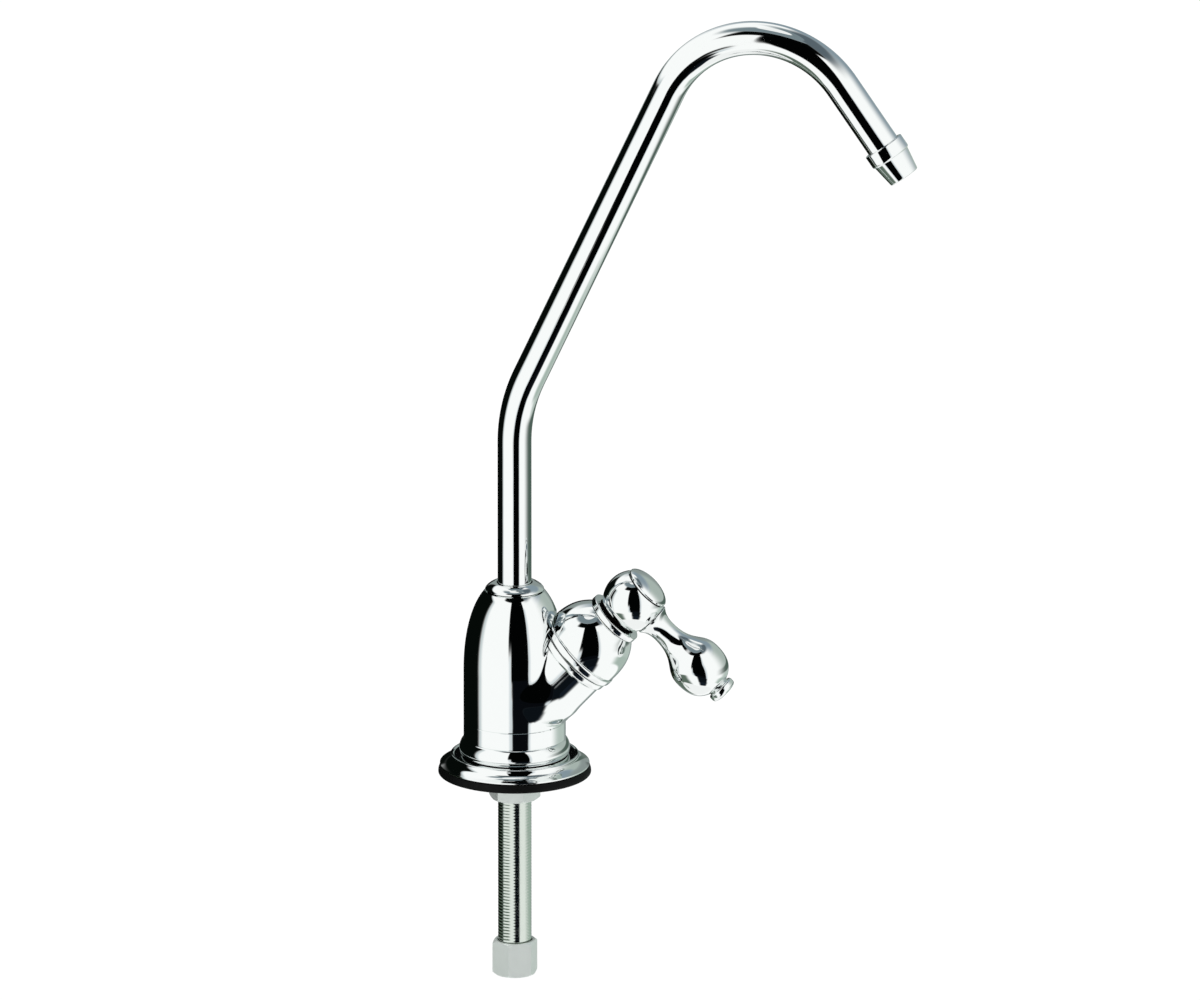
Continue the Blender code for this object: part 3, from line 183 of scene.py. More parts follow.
NOZZLE_RING_RADIUS = 0.00695
NOZZLE_RING_LENGTH = 0.0045
NOZZLE_LENGTH = 0.0125
NOZZLE_SHOULDER_RADIUS = 0.0064
NOZZLE_END_RADIUS = 0.0052
NOZZLE_BORE_RADIUS = 0.0038
NOZZLE_GRIP = 0.0038

# The fillet in the crease between bell and branch, and the thread: the solids have neither.
# The thread's flank runs between two shares of its pitch, counted from the crest's middle.
FILLET_REACH = 0.006
FILLET_RISE = 0.004
FILLET_BEAD_FADE = 0.003
FILLET_ROOT_FADE = 0.008
FILLET_THIN_START = 0.018
FILLET_THIN_END = 0.034
FILLET_THINNING = 0.85
THREAD_PITCH = 0.0254 / 24
THREAD_DEPTH = 0.00006
THREAD_RUNOUT = 0.001
FLANK_START = 0.16
FLANK_END = 0.34

# How far the roundings of edges reach, and the most of a side that one may take
BROKEN_EDGE = 0.0001
SOFT_EDGE = 0.0002
EASED_EDGE = 0.0003
ROUND_EDGE = 0.0004
GASKET_SIDE_ROUND = 0.0006
CAP_EDGE_ROUND = 0.00025
FINIAL_TIP_ROUND = 0.0005
ROUNDING_SHARE = 0.48

# Fineness of the round surfaces
TURN_SEGMENTS = 192
TUBE_SEGMENTS = 96
SHANK_SEGMENTS = 72
STUDIO_SEGMENTS = 96
ROWS_PER_THREAD = 8
DEGREES_PER_STEP = 1.5
CURVE_STEPS = 32
ROUND_STEPS = 5
SKIRT_STEPS = 6
FLANGE_STEPS = 8
SHARP_ANGLE = 28.0

# Distances that count as none or as on the skin, and how finely the fillet is fitted
TINY = 1e-7
SKIN_DISTANCE = 0.00008
THREAD_SKIN_DISTANCE = 0.0001
SLOPE_STEP = 1e-5
LEAST_REACH = 1e-9
FIT_ROUNDS = 6

# The middle of a noise pattern's values, where nearly all of them lie
NOISE_LOW = 0.3
NOISE_HIGH = 0.7

# Where the pieces stand: heights, and each axis as the matrix from its own upright frame
BODY_FOOT = GASKET_THICKNESS + PLATE_HEIGHT + CLEARANCE * 2
BODY_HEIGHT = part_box("valve_body")[1].z - BODY_FOOT
SOCKET_FLOOR = BODY_HEIGHT - SOCKET_DEPTH
BALL_CENTRE = BRANCH_REACH + BONNET_HEIGHT + BALL_RISE + CLEARANCE * 2
BASE = Matrix.Identity(4)
BODY = Matrix.Translation((0.0, 0.0, BODY_FOOT))
BRANCH = (
    BODY @ Matrix.Translation((0.0, 0.0, BRANCH_HEIGHT))
    @ Matrix.Rotation(math.radians(BRANCH_TILT), 4, "Y")
)
HANDLE = BRANCH @ Matrix.Translation((0.0, 0.0, BALL_CENTRE))
LEVER = HANDLE @ Matrix.Rotation(math.radians(90.0), 4, "Y")
SPOUT = BODY @ Matrix.Rotation(math.radians(SPOUT_TURN), 4, "Z")


def make_camera():
    azimuth = math.radians(CAMERA_AZIMUTH)
    elevation = math.radians(CAMERA_ELEVATION)
    back = Vector((
        math.sin(azimuth) * math.cos(elevation),
        -math.cos(azimuth) * math.cos(elevation),
        math.sin(elevation),
    ))
    right = Vector((math.cos(azimuth), math.sin(azimuth), 0.0))
    up = back.cross(right)
    data = bpy.data.cameras.new("camera")
    data.sensor_width = SENSOR_WIDTH
    data.lens = SENSOR_WIDTH * CAMERA_DISTANCE / PICTURE_WIDTH
    data.clip_start = CLIP_START
    data.clip_end = CLIP_END
    camera = bpy.data.objects.new("camera", data)
    camera.location = right * AIM_ACROSS + up * AIM_UP + back * CAMERA_DISTANCE
    camera.rotation_euler = (-back).to_track_quat("-Z", "Y").to_euler()
    bpy.context.scene.collection.objects.link(camera)
    bpy.context.scene.camera = camera


def add(tree, kind, inputs=None, **settings):
    """Adds a node. Each input is a value, or another node's output to link, by socket name or number."""
    node = tree.nodes.new(kind)
    for name, value in settings.items():
        setattr(node, name, value)
    for socket, value in (inputs or {}).items():
        if isinstance(value, bpy.types.NodeSocket):
            tree.links.new(value, node.inputs[socket])
        else:
            node.inputs[socket].default_value = value
    return node


def calculate(tree, operation, *values):
    """What a maths node makes of these values or outputs."""
    return add(tree, "ShaderNodeMath", dict(enumerate(values)), operation=operation).outputs[0]


def ramp(tree, value, low, high, start, end):
    """A value that eases from start to end while another runs from low to high."""
    return add(tree, "ShaderNodeMapRange", {
        "Value": value, "From Min": low, "From Max": high, "To Min": start, "To Max": end},
        interpolation_type="SMOOTHSTEP").outputs["Result"]


def linear(hex_value):
    """The linear colour of an sRGB hex value such as C0CCCA."""
    channels = [int(hex_value[place:place + 2], 16) / 255 for place in (0, 2, 4)]
    curved = [c / 12.92 if c <= 0.04045 else ((c + 0.055) / 1.055) ** 2.4 for c in channels]
    return (*curved, 1.0)


def start_material(name, hex_value, metallic):
    """A new material with its colour, its shader and the piece's own coordinates for its patterns."""
    material = bpy.data.materials.new(name)
    material.use_nodes = True
    tree = material.node_tree
    shader = tree.nodes["Principled BSDF"]
    shader.inputs["Base Color"].default_value = linear(hex_value)
    shader.inputs["Metallic"].default_value = metallic
    place = add(tree, "ShaderNodeTexCoord").outputs["Object"]
    return material, tree, shader, place


def vary_roughness(tree, shader, place, grain, low, high):
    """Lets the gloss wander between two values in patches of one grain size."""
    noise = add(tree, "ShaderNodeTexNoise", {"Vector": place, "Scale": 1.0 / grain, "Detail": 3.0})
    ranged = add(tree, "ShaderNodeMapRange", {
        "Value": noise.outputs["Fac"], "From Min": NOISE_LOW, "From Max": NOISE_HIGH,
        "To Min": low, "To Max": high})
    tree.links.new(ranged.outputs["Result"], shader.inputs["Roughness"])


def raise_bump(tree, shader, height, depth):
    bump = add(tree, "ShaderNodeBump", {"Height": height, "Distance": depth})
    tree.links.new(bump.outputs["Normal"], shader.inputs["Normal"])


def raise_grain(tree, shader, place, grain, detail, depth):
    """Presses in an irregular relief of one grain size and depth, as coarse as it needs to show."""
    noise = add(tree, "ShaderNodeTexNoise", {"Vector": place, "Scale": 1.0 / grain, "Detail": detail})
    raise_bump(tree, shader, noise.outputs["Fac"], depth)


def polished_chrome():
    """Buffed chrome plate over cast brass: a near-perfect mirror with the buff's faint waviness."""
    material, tree, shader, place = start_material("polished_chrome_plate", "EFF2F1", metallic=1.0)
    vary_roughness(tree, shader, place, grain=0.004, low=0.02, high=0.05)
    raise_grain(tree, shader, place, grain=0.009, detail=1.0, depth=0.00004)
    return material


def painted_groove_shade():
    """Painted shade for the bottom of a deep groove: a near-black, dull surface in place of the groove's own
    dark.
    """
    material, tree, shader, place = start_material("groove_painted_shade", "020202", metallic=0.0)
    shader.inputs["Specular IOR Level"].default_value = 0.1
    vary_roughness(tree, shader, place, grain=0.001, low=0.5, high=0.7)
    raise_grain(tree, shader, place, grain=0.0003, detail=2.0, depth=0.00001)
    return material


def rolled_nickel():
    """Nickel-plated rolled thread: crests bright enough to hold soft stripes, with a green-grey cast."""
    material, tree, shader, place = start_material("rolled_nickel_thread", "D2DAD2", metallic=1.0)
    vary_roughness(tree, shader, place, grain=0.003, low=0.09, high=0.18)
    raise_grain(tree, shader, place, grain=0.0004, detail=2.0, depth=0.000006)
    return material


def satin_nickel():
    """Barrel-finished nickel plate on the nuts: a soft pale grey, each flat with a tone of its own."""
    material, tree, shader, place = start_material("satin_nickel_plate", "E6EDE9", metallic=0.5)
    vary_roughness(tree, shader, place, grain=0.002, low=0.4, high=0.5)
    raise_grain(tree, shader, place, grain=0.0005, detail=3.0, depth=0.00001)
    return material


def nitrile_rubber():
    """Moulded black nitrile rubber: almost black, with a fine matt grain that catches a dull sheen."""
    material, tree, shader, place = start_material("nitrile_rubber", "060707", metallic=0.0)
    shader.inputs["Specular IOR Level"].default_value = 0.12
    vary_roughness(tree, shader, place, grain=0.0015, low=0.42, high=0.62)
    raise_grain(tree, shader, place, grain=0.0004, detail=4.0, depth=0.00002)
    return material


def zinc_plate():
    """Bright zinc plate on stamped steel: bluish grey with a faint crystalline cloudiness."""
    material, tree, shader, place = start_material("bright_zinc_plate", "B4BABD", metallic=1.0)
    vary_roughness(tree, shader, place, grain=0.0015, low=0.26, high=0.42)
    crystal_width = 0.0008
    crystal = add(tree, "ShaderNodeTexVoronoi", {"Vector": place, "Scale": 1.0 / crystal_width})
    raise_bump(tree, shader, crystal.outputs["Distance"], depth=0.00001)
    return material


def along_branch(tree, place):
    """Coordinates turned so that Z runs along the branch, for marks left by turning."""
    return add(tree, "ShaderNodeMapping", {
        "Vector": place, "Rotation": (0.0, math.radians(-BRANCH_TILT), 0.0)}).outputs["Vector"]


def turned_brass():
    """Free-cutting brass from the lathe: warm yellow with feed rings, drawn coarse enough to show."""
    material, tree, shader, place = start_material("turned_brass", "DBBB72", metallic=1.0)
    vary_roughness(tree, shader, place, grain=0.002, low=0.22, high=0.36)
    feed = 0.0005
    rings = add(tree, "ShaderNodeTexWave", {
        "Vector": along_branch(tree, place), "Scale": 1.0 / feed, "Distortion": 0.3},
        wave_type="BANDS", bands_direction="Z")
    raise_bump(tree, shader, rings.outputs["Fac"], depth=0.00001)
    return material


def lapped_ceramic():
    """Lapped alumina: dense ivory white, flat and faintly glossy, with a trace of mottling."""
    ivory = "F2EFE6"
    material, tree, shader, place = start_material("lapped_alumina", ivory, metallic=0.0)
    vary_roughness(tree, shader, place, grain=0.001, low=0.14, high=0.24)
    patch = 0.0012
    mottle = add(tree, "ShaderNodeTexNoise", {"Vector": place, "Scale": 1.0 / patch, "Detail": 2.0})
    tint = add(tree, "ShaderNodeMix", {
        "Factor": mottle.outputs["Fac"], "A": linear(ivory), "B": linear("E6E1D4")}, data_type="RGBA")
    tree.links.new(tint.outputs["Result"], shader.inputs["Base Color"])
    return material


def natural_acetal():
    """Natural acetal from a mould: milky white, with a soft sheen and a faint grain."""
    material, tree, shader, place = start_material("natural_acetal", "E9E7DE", metallic=0.0)
    vary_roughness(tree, shader, place, grain=0.0012, low=0.34, high=0.48)
    raise_grain(tree, shader, place, grain=0.0006, detail=2.0, depth=0.000008)
    return material


def curve(start, handle_a, handle_b, end, steps=CURVE_STEPS):
    points = interpolate_bezier(Vector(start), Vector(handle_a), Vector(handle_b), Vector(end), steps + 1)
    return [(point[0], point[1]) for point in points]


def arc(centre, radius, start, end, steps):
    angles = [math.radians(start + (end - start) * step / steps) for step in range(steps + 1)]
    return [(centre[0] + radius * math.cos(a), centre[1] + radius * math.sin(a)) for a in angles]


def straight(start, end, steps):
    """Points along a straight stretch, both ends included."""
    a = Vector(start)
    b = Vector(end)
    return [tuple(a.lerp(b, step / steps)) for step in range(steps + 1)]


def softened(*stretches):
    """Joins stretches into one outline. A corner's third number is how far its rounding reaches."""
    corners = []
    for stretch in stretches:
        for corner in stretch:
            if not corners or math.dist(corners[-1][:2], corner[:2]) > TINY:
                corners.append(corner)
    outline = []
    for index, corner in enumerate(corners):
        here = Vector(corner[:2])
        if len(corner) < 3:
            outline.append(tuple(here))
            continue
        before = Vector(corners[index - 1][:2]) - here
        after = Vector(corners[(index + 1) % len(corners)][:2]) - here
        first = here + before.normalized() * min(corner[2], before.length * ROUNDING_SHARE)
        last = here + after.normalized() * min(corner[2], after.length * ROUNDING_SHARE)
        for step in range(ROUND_STEPS + 1):
            share = step / ROUND_STEPS
            point = first * (1 - share) ** 2 + here * 2 * share * (1 - share) + last * share ** 2
            outline.append(tuple(point))
    return outline


def turned(outline, segments=TURN_SEGMENTS):
    """A closed form turned about Z. The outline ends on the axis, or is a closed loop off it."""
    form = bmesh.new()
    angles = [math.tau * index / segments for index in range(segments)]
    rings = []
    for radius, height in outline:
        places = [(0.0, 0.0, height)]
        if radius > TINY:
            places = [(radius * math.cos(a), radius * math.sin(a), height) for a in angles]
        rings.append([form.verts.new(place) for place in places])
    pairs = list(zip(rings, rings[1:]))
    if len(rings[0]) > 1 or len(rings[-1]) > 1:
        pairs.append((rings[-1], rings[0]))
    for near, far in pairs:
        for index in range(segments):
            after = (index + 1) % segments
            corners = [
                near[index % len(near)], near[after % len(near)],
                far[after % len(far)], far[index % len(far)],
            ]
            form.faces.new(list(dict.fromkeys(corners)))
    bmesh.ops.recalc_face_normals(form, faces=form.faces)
    return form


def rod(radius, bottom, top):
    return turned([(0.0, bottom), (radius, bottom), (radius, top), (0.0, top)])


def prism(outline, bottom, top):
    form = bmesh.new()
    base = form.faces.new([form.verts.new((x, y, bottom)) for x, y in outline])
    lifted = bmesh.ops.extrude_face_region(form, geom=[base])["geom"]
    moved = [item for item in lifted if isinstance(item, bmesh.types.BMVert)]
    bmesh.ops.translate(form, verts=moved, vec=(0.0, 0.0, top - bottom))
    bmesh.ops.recalc_face_normals(form, faces=form.faces)
    return form


def to_object(name, form, matrix=BASE):
    mesh = bpy.data.meshes.new(name)
    form.transform(matrix)
    form.to_mesh(mesh)
    form.free()
    piece = bpy.data.objects.new(name, mesh)
    bpy.context.scene.collection.objects.link(piece)
    return piece


def settle(piece):
    """Turns what the piece's modifiers make into its plain mesh."""
    graph = bpy.context.evaluated_depsgraph_get()
    mesh = bpy.data.meshes.new_from_object(piece.evaluated_get(graph))
    piece.modifiers.clear()
    piece.data = mesh


def carve(piece, form, matrix=BASE, operation="DIFFERENCE"):
    """Cuts a form from a piece, or adds it, or keeps what they share."""
    tool = to_object("tool", form, matrix)
    modifier = piece.modifiers.new("carve", "BOOLEAN")
    modifier.solver = "MANIFOLD"
    modifier.operation = operation
    modifier.object = tool
    settle(piece)
    bpy.data.objects.remove(tool, do_unlink=True)


def dress(piece, body, material, slot_name, *nodes):
    """Shades a finished piece, sets it on its body and lets it stand for its solids."""
    piece.data.materials.clear()
    piece.data.materials.append(material)
    piece.data.shade_smooth()
    piece.data.set_sharp_from_angle(angle=math.radians(SHARP_ANGLE))
    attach(piece, body)
    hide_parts(*nodes)


def shade_groove(piece, material, matrix, radius, bottom, top):
    """Gives a second material to the faces inside a radius and between two heights along an axis."""
    piece.data.materials.append(material)
    to_axis = matrix.inverted()
    for face in piece.data.polygons:
        spot = to_axis @ face.center
        if math.hypot(spot.x, spot.y) < radius and bottom < spot.z < top:
            face.material_index = 1


def make_gasket(rubber):
    top_radius = GASKET_RADIUS - GASKET_DRAFT
    outline = softened([
        (THREAD_HOLE_RADIUS, GASKET_RELIEF_DEPTH),
        (GASKET_RELIEF_RADIUS, GASKET_RELIEF_DEPTH),
        (GASKET_RELIEF_RADIUS, 0.0),
        (GASKET_RADIUS - CLEARANCE, 0.0, SOFT_EDGE),
        (GASKET_RADIUS, CLEARANCE, SOFT_EDGE),
        (GASKET_RADIUS, GASKET_THICKNESS * 0.45, GASKET_SIDE_ROUND),
        (top_radius, GASKET_THICKNESS, EASED_EDGE),
        (THREAD_HOLE_RADIUS, GASKET_THICKNESS),
    ])
    dress(to_object("base_gasket_skin", turned(outline)), "valve", rubber, "black_rubber", "base_gasket")


def make_plate(chrome):
    seat = PLATE_HEIGHT
    lip_inner = PLATE_LIP_RADIUS - PLATE_LIP_WIDTH
    lip_top = seat + PLATE_LIP_RISE
    hub = THREAD_HOLE_RADIUS + PLATE_HUB_WALL
    flare = curve(
        (PLATE_LIP_RADIUS, seat - PLATE_LIP_RISE * 2), (PLATE_LIP_RADIUS + PLATE_FLARE_START, seat * 0.45),
        (PLATE_RADIUS - PLATE_FLARE_SWEEP, seat * 0.32), (PLATE_RADIUS, seat * 0.14))
    lip = curve(
        (lip_inner, seat), (lip_inner + PLATE_LIP_WIDTH * 0.25, lip_top + PLATE_LIP_RISE * 0.5),
        (PLATE_LIP_RADIUS, lip_top + PLATE_LIP_RISE), (PLATE_LIP_RADIUS, seat - PLATE_LIP_RISE * 2))
    inside = [
        (PLATE_RADIUS, 0.0, BROKEN_EDGE),
        (PLATE_RADIUS - PLATE_WALL, 0.0),
        (PLATE_LIP_RADIUS - PLATE_WALL * 0.5, seat - PLATE_WALL),
        (hub, seat - PLATE_WALL),
        (hub, 0.0),
        (THREAD_HOLE_RADIUS, 0.0),
        (THREAD_HOLE_RADIUS, seat),
    ]
    form = turned(softened(lip, flare, inside))
    matrix = Matrix.Translation((0.0, 0.0, GASKET_THICKNESS + CLEARANCE))
    dress(to_object("base_plate_skin", form, matrix), "valve", chrome, "polished_chrome", "base_plate")


def bell_shoulder():
    drop = BODY_RADIUS - RIDGE_RADIUS
    return curve(
        (RIDGE_RADIUS, BODY_HEIGHT), (RIDGE_RADIUS + drop * 0.65, BODY_HEIGHT - SHOULDER_HEIGHT * 0.19),
        (BODY_RADIUS, BODY_HEIGHT - SHOULDER_HEIGHT * 0.56),
        (BODY_RADIUS, BODY_HEIGHT - SHOULDER_HEIGHT), CURVE_STEPS * 2)


def bell_outline():
    foot_radius = BODY_RADIUS + FOOT_FLARE
    bulge = BODY_RADIUS + FOOT_BULGE
    band_top = FOOT_HEIGHT + BAND_HEIGHT
    boss = THREAD_HOLE_RADIUS + FOOT_WALL
    wall = straight(
        (BODY_RADIUS, BODY_HEIGHT - SHOULDER_HEIGHT), (BODY_RADIUS, band_top + GROOVE_WIDTH), CURVE_STEPS)
    grooves = [
        (BODY_RADIUS - GROOVE_DEPTH, band_top + GROOVE_WIDTH / 2),
        (BODY_RADIUS, band_top),
        (BODY_RADIUS, FOOT_HEIGHT + GROOVE_WIDTH),
        (BODY_RADIUS - GROOVE_DEPTH, FOOT_HEIGHT + GROOVE_WIDTH / 2),
    ]
    foot = curve(
        (BODY_RADIUS + GROOVE_DEPTH / 2, FOOT_HEIGHT), (bulge, FOOT_HEIGHT * 0.7),
        (bulge + GROOVE_DEPTH * 2, FOOT_HEIGHT * 0.27), (foot_radius, 0.0))
    underside = [
        (foot_radius - FOOT_WALL, 0.0),
        (foot_radius - FOOT_WALL, FOOT_RECESS_DEPTH),
        (boss, FOOT_RECESS_DEPTH),
        (boss, 0.0),
        (THREAD_HOLE_RADIUS, 0.0),
        (THREAD_HOLE_RADIUS, SHANK_GRIP + CLEARANCE),
        (0.0, SHANK_GRIP + CLEARANCE),
    ]
    return softened([(0.0, BODY_HEIGHT)], bell_shoulder(), wall, grooves, foot, underside)


def branch_outline():
    bead = BRANCH_RADIUS + BEAD_HEIGHT
    bead_start = BRANCH_REACH - BEAD_LENGTH
    side = straight(
        (BRANCH_RADIUS + BRANCH_TAPER, BRANCH_START), (BRANCH_RADIUS, bead_start - BEAD_HEIGHT), CURVE_STEPS)
    end = [
        (bead, bead_start, ROUND_EDGE),
        (bead, BRANCH_REACH, EASED_EDGE),
        (0.0, BRANCH_REACH),
    ]
    return softened([(0.0, BRANCH_START)], side, end)


def smooth_step(value, low, high):
    share = np.clip((value - low) / (high - low), 0.0, 1.0)
    return share * share * (3.0 - 2.0 * share)


def junction_field(points):
    """How far points lie outside the bell and branch with the fillet in their crease.

    Also gives how strong the fillet is at each point, and the distance without it.
    """
    profile = np.array(bell_shoulder()[::-1])
    height = points[:, 2] - BODY_FOOT
    radius = np.interp(height, profile[:, 1], profile[:, 0])
    slope = np.interp(height, profile[:, 1], np.gradient(profile[:, 0], profile[:, 1]))
    bell = (np.hypot(points[:, 0], points[:, 1]) - radius) / np.sqrt(1.0 + slope ** 2)
    local = (points - np.array(BRANCH.translation)) @ np.array(BRANCH.to_3x3())
    along = local[:, 2]
    bead_start = BRANCH_REACH - BEAD_LENGTH - BEAD_HEIGHT
    share = (along - BRANCH_START) / (bead_start - BRANCH_START)
    branch = np.hypot(local[:, 0], local[:, 1]) - BRANCH_RADIUS - BRANCH_TAPER * (1.0 - share)
    band_top = FOOT_HEIGHT + BAND_HEIGHT + GROOVE_WIDTH
    reach = FILLET_REACH * smooth_step(height, band_top, band_top + FILLET_RISE)
    reach = reach * (1.0 - smooth_step(along, bead_start - FILLET_BEAD_FADE, bead_start))
    reach = reach * smooth_step(along, 0.0, BRANCH_START + FILLET_ROOT_FADE)
    thinning = FILLET_THINNING * smooth_step(height, FILLET_THIN_START, FILLET_THIN_END)
    reach = reach * (1.0 - thinning) + LEAST_REACH
    overlap = np.clip(reach - np.abs(bell - branch), 0.0, None) / reach
    distance = np.minimum(bell, branch)
    return distance - overlap ** 2 * reach / 4.0, overlap, distance


def field_slope(points):
    """The direction in which the junction's field grows fastest at each point."""
    parts = []
    for axis in np.eye(3) * SLOPE_STEP:
        growth = junction_field(points + axis)[0] - junction_field(points - axis)[0]
        parts.append(growth / (2.0 * SLOPE_STEP))
    return np.stack(parts, axis=1)


def fill_junction(piece):
    """Moves the skin near the crease out to the fillet, and gives it the fillet's own normals."""
    mesh = piece.data
    points = np.zeros(len(mesh.vertices) * 3)
    mesh.vertices.foreach_get("co", points)
    points = points.reshape(-1, 3)
    _, overlap, distance = junction_field(points)
    chosen = (overlap > 0.0) & (np.abs(distance) < SKIN_DISTANCE)
    moved = points[chosen]
    for _ in range(FIT_ROUNDS):
        slope = field_slope(moved)
        amount = junction_field(moved)[0] / np.sum(slope ** 2, axis=1)
        moved = moved - slope * amount[:, None]
    points[chosen] = moved
    mesh.vertices.foreach_set("co", points.ravel())
    mesh.update()
    normals = np.zeros_like(points)
    slope = field_slope(moved)
    normals[chosen] = slope / np.linalg.norm(slope, axis=1)[:, None]
    corners = np.zeros(len(mesh.loops), dtype=np.int64)
    mesh.loops.foreach_get("vertex_index", corners)
    return [tuple(normal) for normal in normals[corners]]


def make_body(chrome):
    """The casting: bell, branch with its bead, the spot face for the bonnet, and the bores."""
    piece = to_object("valve_body_skin", turned(bell_outline()), BODY)
    notch = rod(FLANGE_RADIUS + NOTCH_MARGIN, BRANCH_REACH - CLEARANCE, BALL_CENTRE)
    carve(piece, notch, BRANCH)
    carve(piece, turned(branch_outline()), BRANCH, "UNION")
    chamber_floor = CARTRIDGE_SEAT - CARTRIDGE_INSERT
    chamber = turned([
        (0.0, chamber_floor),
        (CHAMBER_RADIUS, chamber_floor),
        (CHAMBER_RADIUS, CARTRIDGE_SEAT),
        (MOUTH_RADIUS, CARTRIDGE_SEAT),
        (MOUTH_RADIUS, BRANCH_REACH + BEAD_LENGTH),
        (0.0, BRANCH_REACH + BEAD_LENGTH),
    ])
    carve(piece, chamber, BRANCH)
    mouth_floor = BODY_HEIGHT - COLLAR_SPIGOT_DEPTH - CLEARANCE
    socket = turned([
        (0.0, SOCKET_FLOOR),
        (SOCKET_RADIUS, SOCKET_FLOOR),
        (SOCKET_RADIUS, mouth_floor),
        (SOCKET_MOUTH_RADIUS, mouth_floor),
        (SOCKET_MOUTH_RADIUS, BODY_HEIGHT + CLEARANCE),
        (0.0, BODY_HEIGHT + CLEARANCE),
    ])
    carve(piece, socket, BODY)
    normals = fill_junction(piece)
    dress(piece, "valve", chrome, "polished_chrome", "valve_body")
    piece.data.normals_split_custom_set(normals)


def make_bonnet(chrome):
    bottom = BRANCH_REACH + CLEARANCE
    flange_top = bottom + FLANGE_HEIGHT
    top = bottom + BONNET_HEIGHT
    dome_radius = FLANGE_RADIUS - BONNET_DOME_INSET
    dome_start = flange_top + CLEARANCE
    dome_height = top - CLEARANCE - dome_start
    drop = dome_radius - BONNET_TOP_RADIUS
    edge = FLANGE_RADIUS - FLANGE_ROUND
    flange = arc((edge, bottom + FLANGE_ROUND), FLANGE_ROUND, -90.0, 0.0, FLANGE_STEPS)
    flange += arc((edge, flange_top - FLANGE_ROUND), FLANGE_ROUND, 0.0, 60.0, FLANGE_STEPS)
    dome = curve(
        (dome_radius, dome_start), (dome_radius, dome_start + dome_height * 0.42),
        (BONNET_TOP_RADIUS + drop * 0.77, top - dome_height * 0.31),
        (BONNET_TOP_RADIUS, top - CLEARANCE), CURVE_STEPS * 2)
    hollow = SPIGOT_RADIUS - BONNET_WALL
    spigot = BRANCH_REACH - SPIGOT_LENGTH + CLEARANCE
    inside = [
        (BONNET_TOP_RADIUS - CLEARANCE, top),
        (BONNET_HOLE_RADIUS, top),
        (BONNET_HOLE_RADIUS, top - BONNET_WALL),
        (hollow, top - BONNET_WALL * 2),
        (hollow, spigot),
        (SPIGOT_RADIUS, spigot),
        (SPIGOT_RADIUS, bottom),
    ]
    crease = [(dome_radius - CLEARANCE, flange_top)]
    form = turned(softened(flange, crease, dome, inside))
    dress(to_object("bonnet_skin", form, BRANCH), "valve", chrome, "polished_chrome", "bonnet")


def make_collar(chrome):
    seat = BODY_HEIGHT + CLEARANCE
    top = seat + COLLAR_RISE
    hole = TUBE_RADIUS + CLEARANCE
    top_radius = hole + COLLAR_LIP
    skirt = RIDGE_RADIUS - CLEARANCE / 2
    slope = curve(
        (skirt, seat + CLEARANCE), (skirt - COLLAR_SLOPE, seat + COLLAR_RISE * 0.5),
        (top_radius + COLLAR_LIP * 1.6, top - CLEARANCE), (top_radius, top))
    bottom = BODY_HEIGHT - COLLAR_SPIGOT_DEPTH
    inside = [
        (hole, top, SOFT_EDGE),
        (hole, bottom),
        (COLLAR_SPIGOT_RADIUS, bottom),
        (COLLAR_SPIGOT_RADIUS, seat),
        (skirt - CLEARANCE, seat, BROKEN_EDGE),
    ]
    form = turned(softened(slope, inside))
    dress(to_object("spout_collar_skin", form, BODY), "valve", chrome, "polished_chrome", "spout_collar")


def make_hub(chrome, painted_shade):
    base = -BALL_RISE
    skirt_top = base + SKIRT_HEIGHT
    skirt_edge = SKIRT_RADIUS - SKIRT_ROUND
    recess = base + SKIRT_RECESS
    top = math.sqrt(BALL_RADIUS ** 2 - CAP_RADIUS ** 2) - CLEARANCE
    neck_top = skirt_top + HUB_NECK_HEIGHT
    groove_radius = (HUB_NECK_RADIUS * 2 + SKIRT_RADIUS) / 3
    neck_angle = math.degrees(math.asin(neck_top / BALL_RADIUS))
    top_angle = math.degrees(math.asin(top / BALL_RADIUS))
    outline = softened(
        [
            (HUB_BORE_RADIUS, recess),
            (SKIRT_RADIUS - SKIRT_RECESS, recess),
            (SKIRT_RADIUS - SKIRT_RECESS, base),
        ],
        arc((skirt_edge, base + SKIRT_ROUND), SKIRT_ROUND, -90.0, 0.0, SKIRT_STEPS),
        arc((skirt_edge, skirt_top - SKIRT_ROUND), SKIRT_ROUND, 0.0, 90.0, SKIRT_STEPS),
        [(groove_radius, skirt_top), (HUB_NECK_RADIUS, skirt_top), (HUB_NECK_RADIUS, neck_top)],
        arc((0.0, 0.0), BALL_RADIUS, neck_angle, top_angle, CURVE_STEPS * 2),
        [(HUB_BORE_RADIUS, top)],
    )
    piece = to_object("handle_hub_skin", turned(outline), HANDLE)
    stud_hole = LEVER_STUD_RADIUS + CLEARANCE
    seat_radius = LEVER_ROOT_RADIUS + CLEARANCE * 2
    seat = turned([
        (0.0, LEVER_SEAT - LEVER_STUD_LENGTH),
        (stud_hole, LEVER_SEAT - LEVER_STUD_LENGTH),
        (stud_hole, LEVER_SEAT),
        (seat_radius, LEVER_SEAT),
        (seat_radius, BALL_RADIUS + CLEARANCE),
        (0.0, BALL_RADIUS + CLEARANCE),
    ])
    carve(piece, seat, LEVER)
    dress(piece, "handle", chrome, "polished_chrome", "handle_hub")
    # The faces in the groove between skirt and ball take the near-black painted shade.
    shade_groove(piece, painted_shade, HANDLE, groove_radius, skirt_top - CLEARANCE, neck_top)


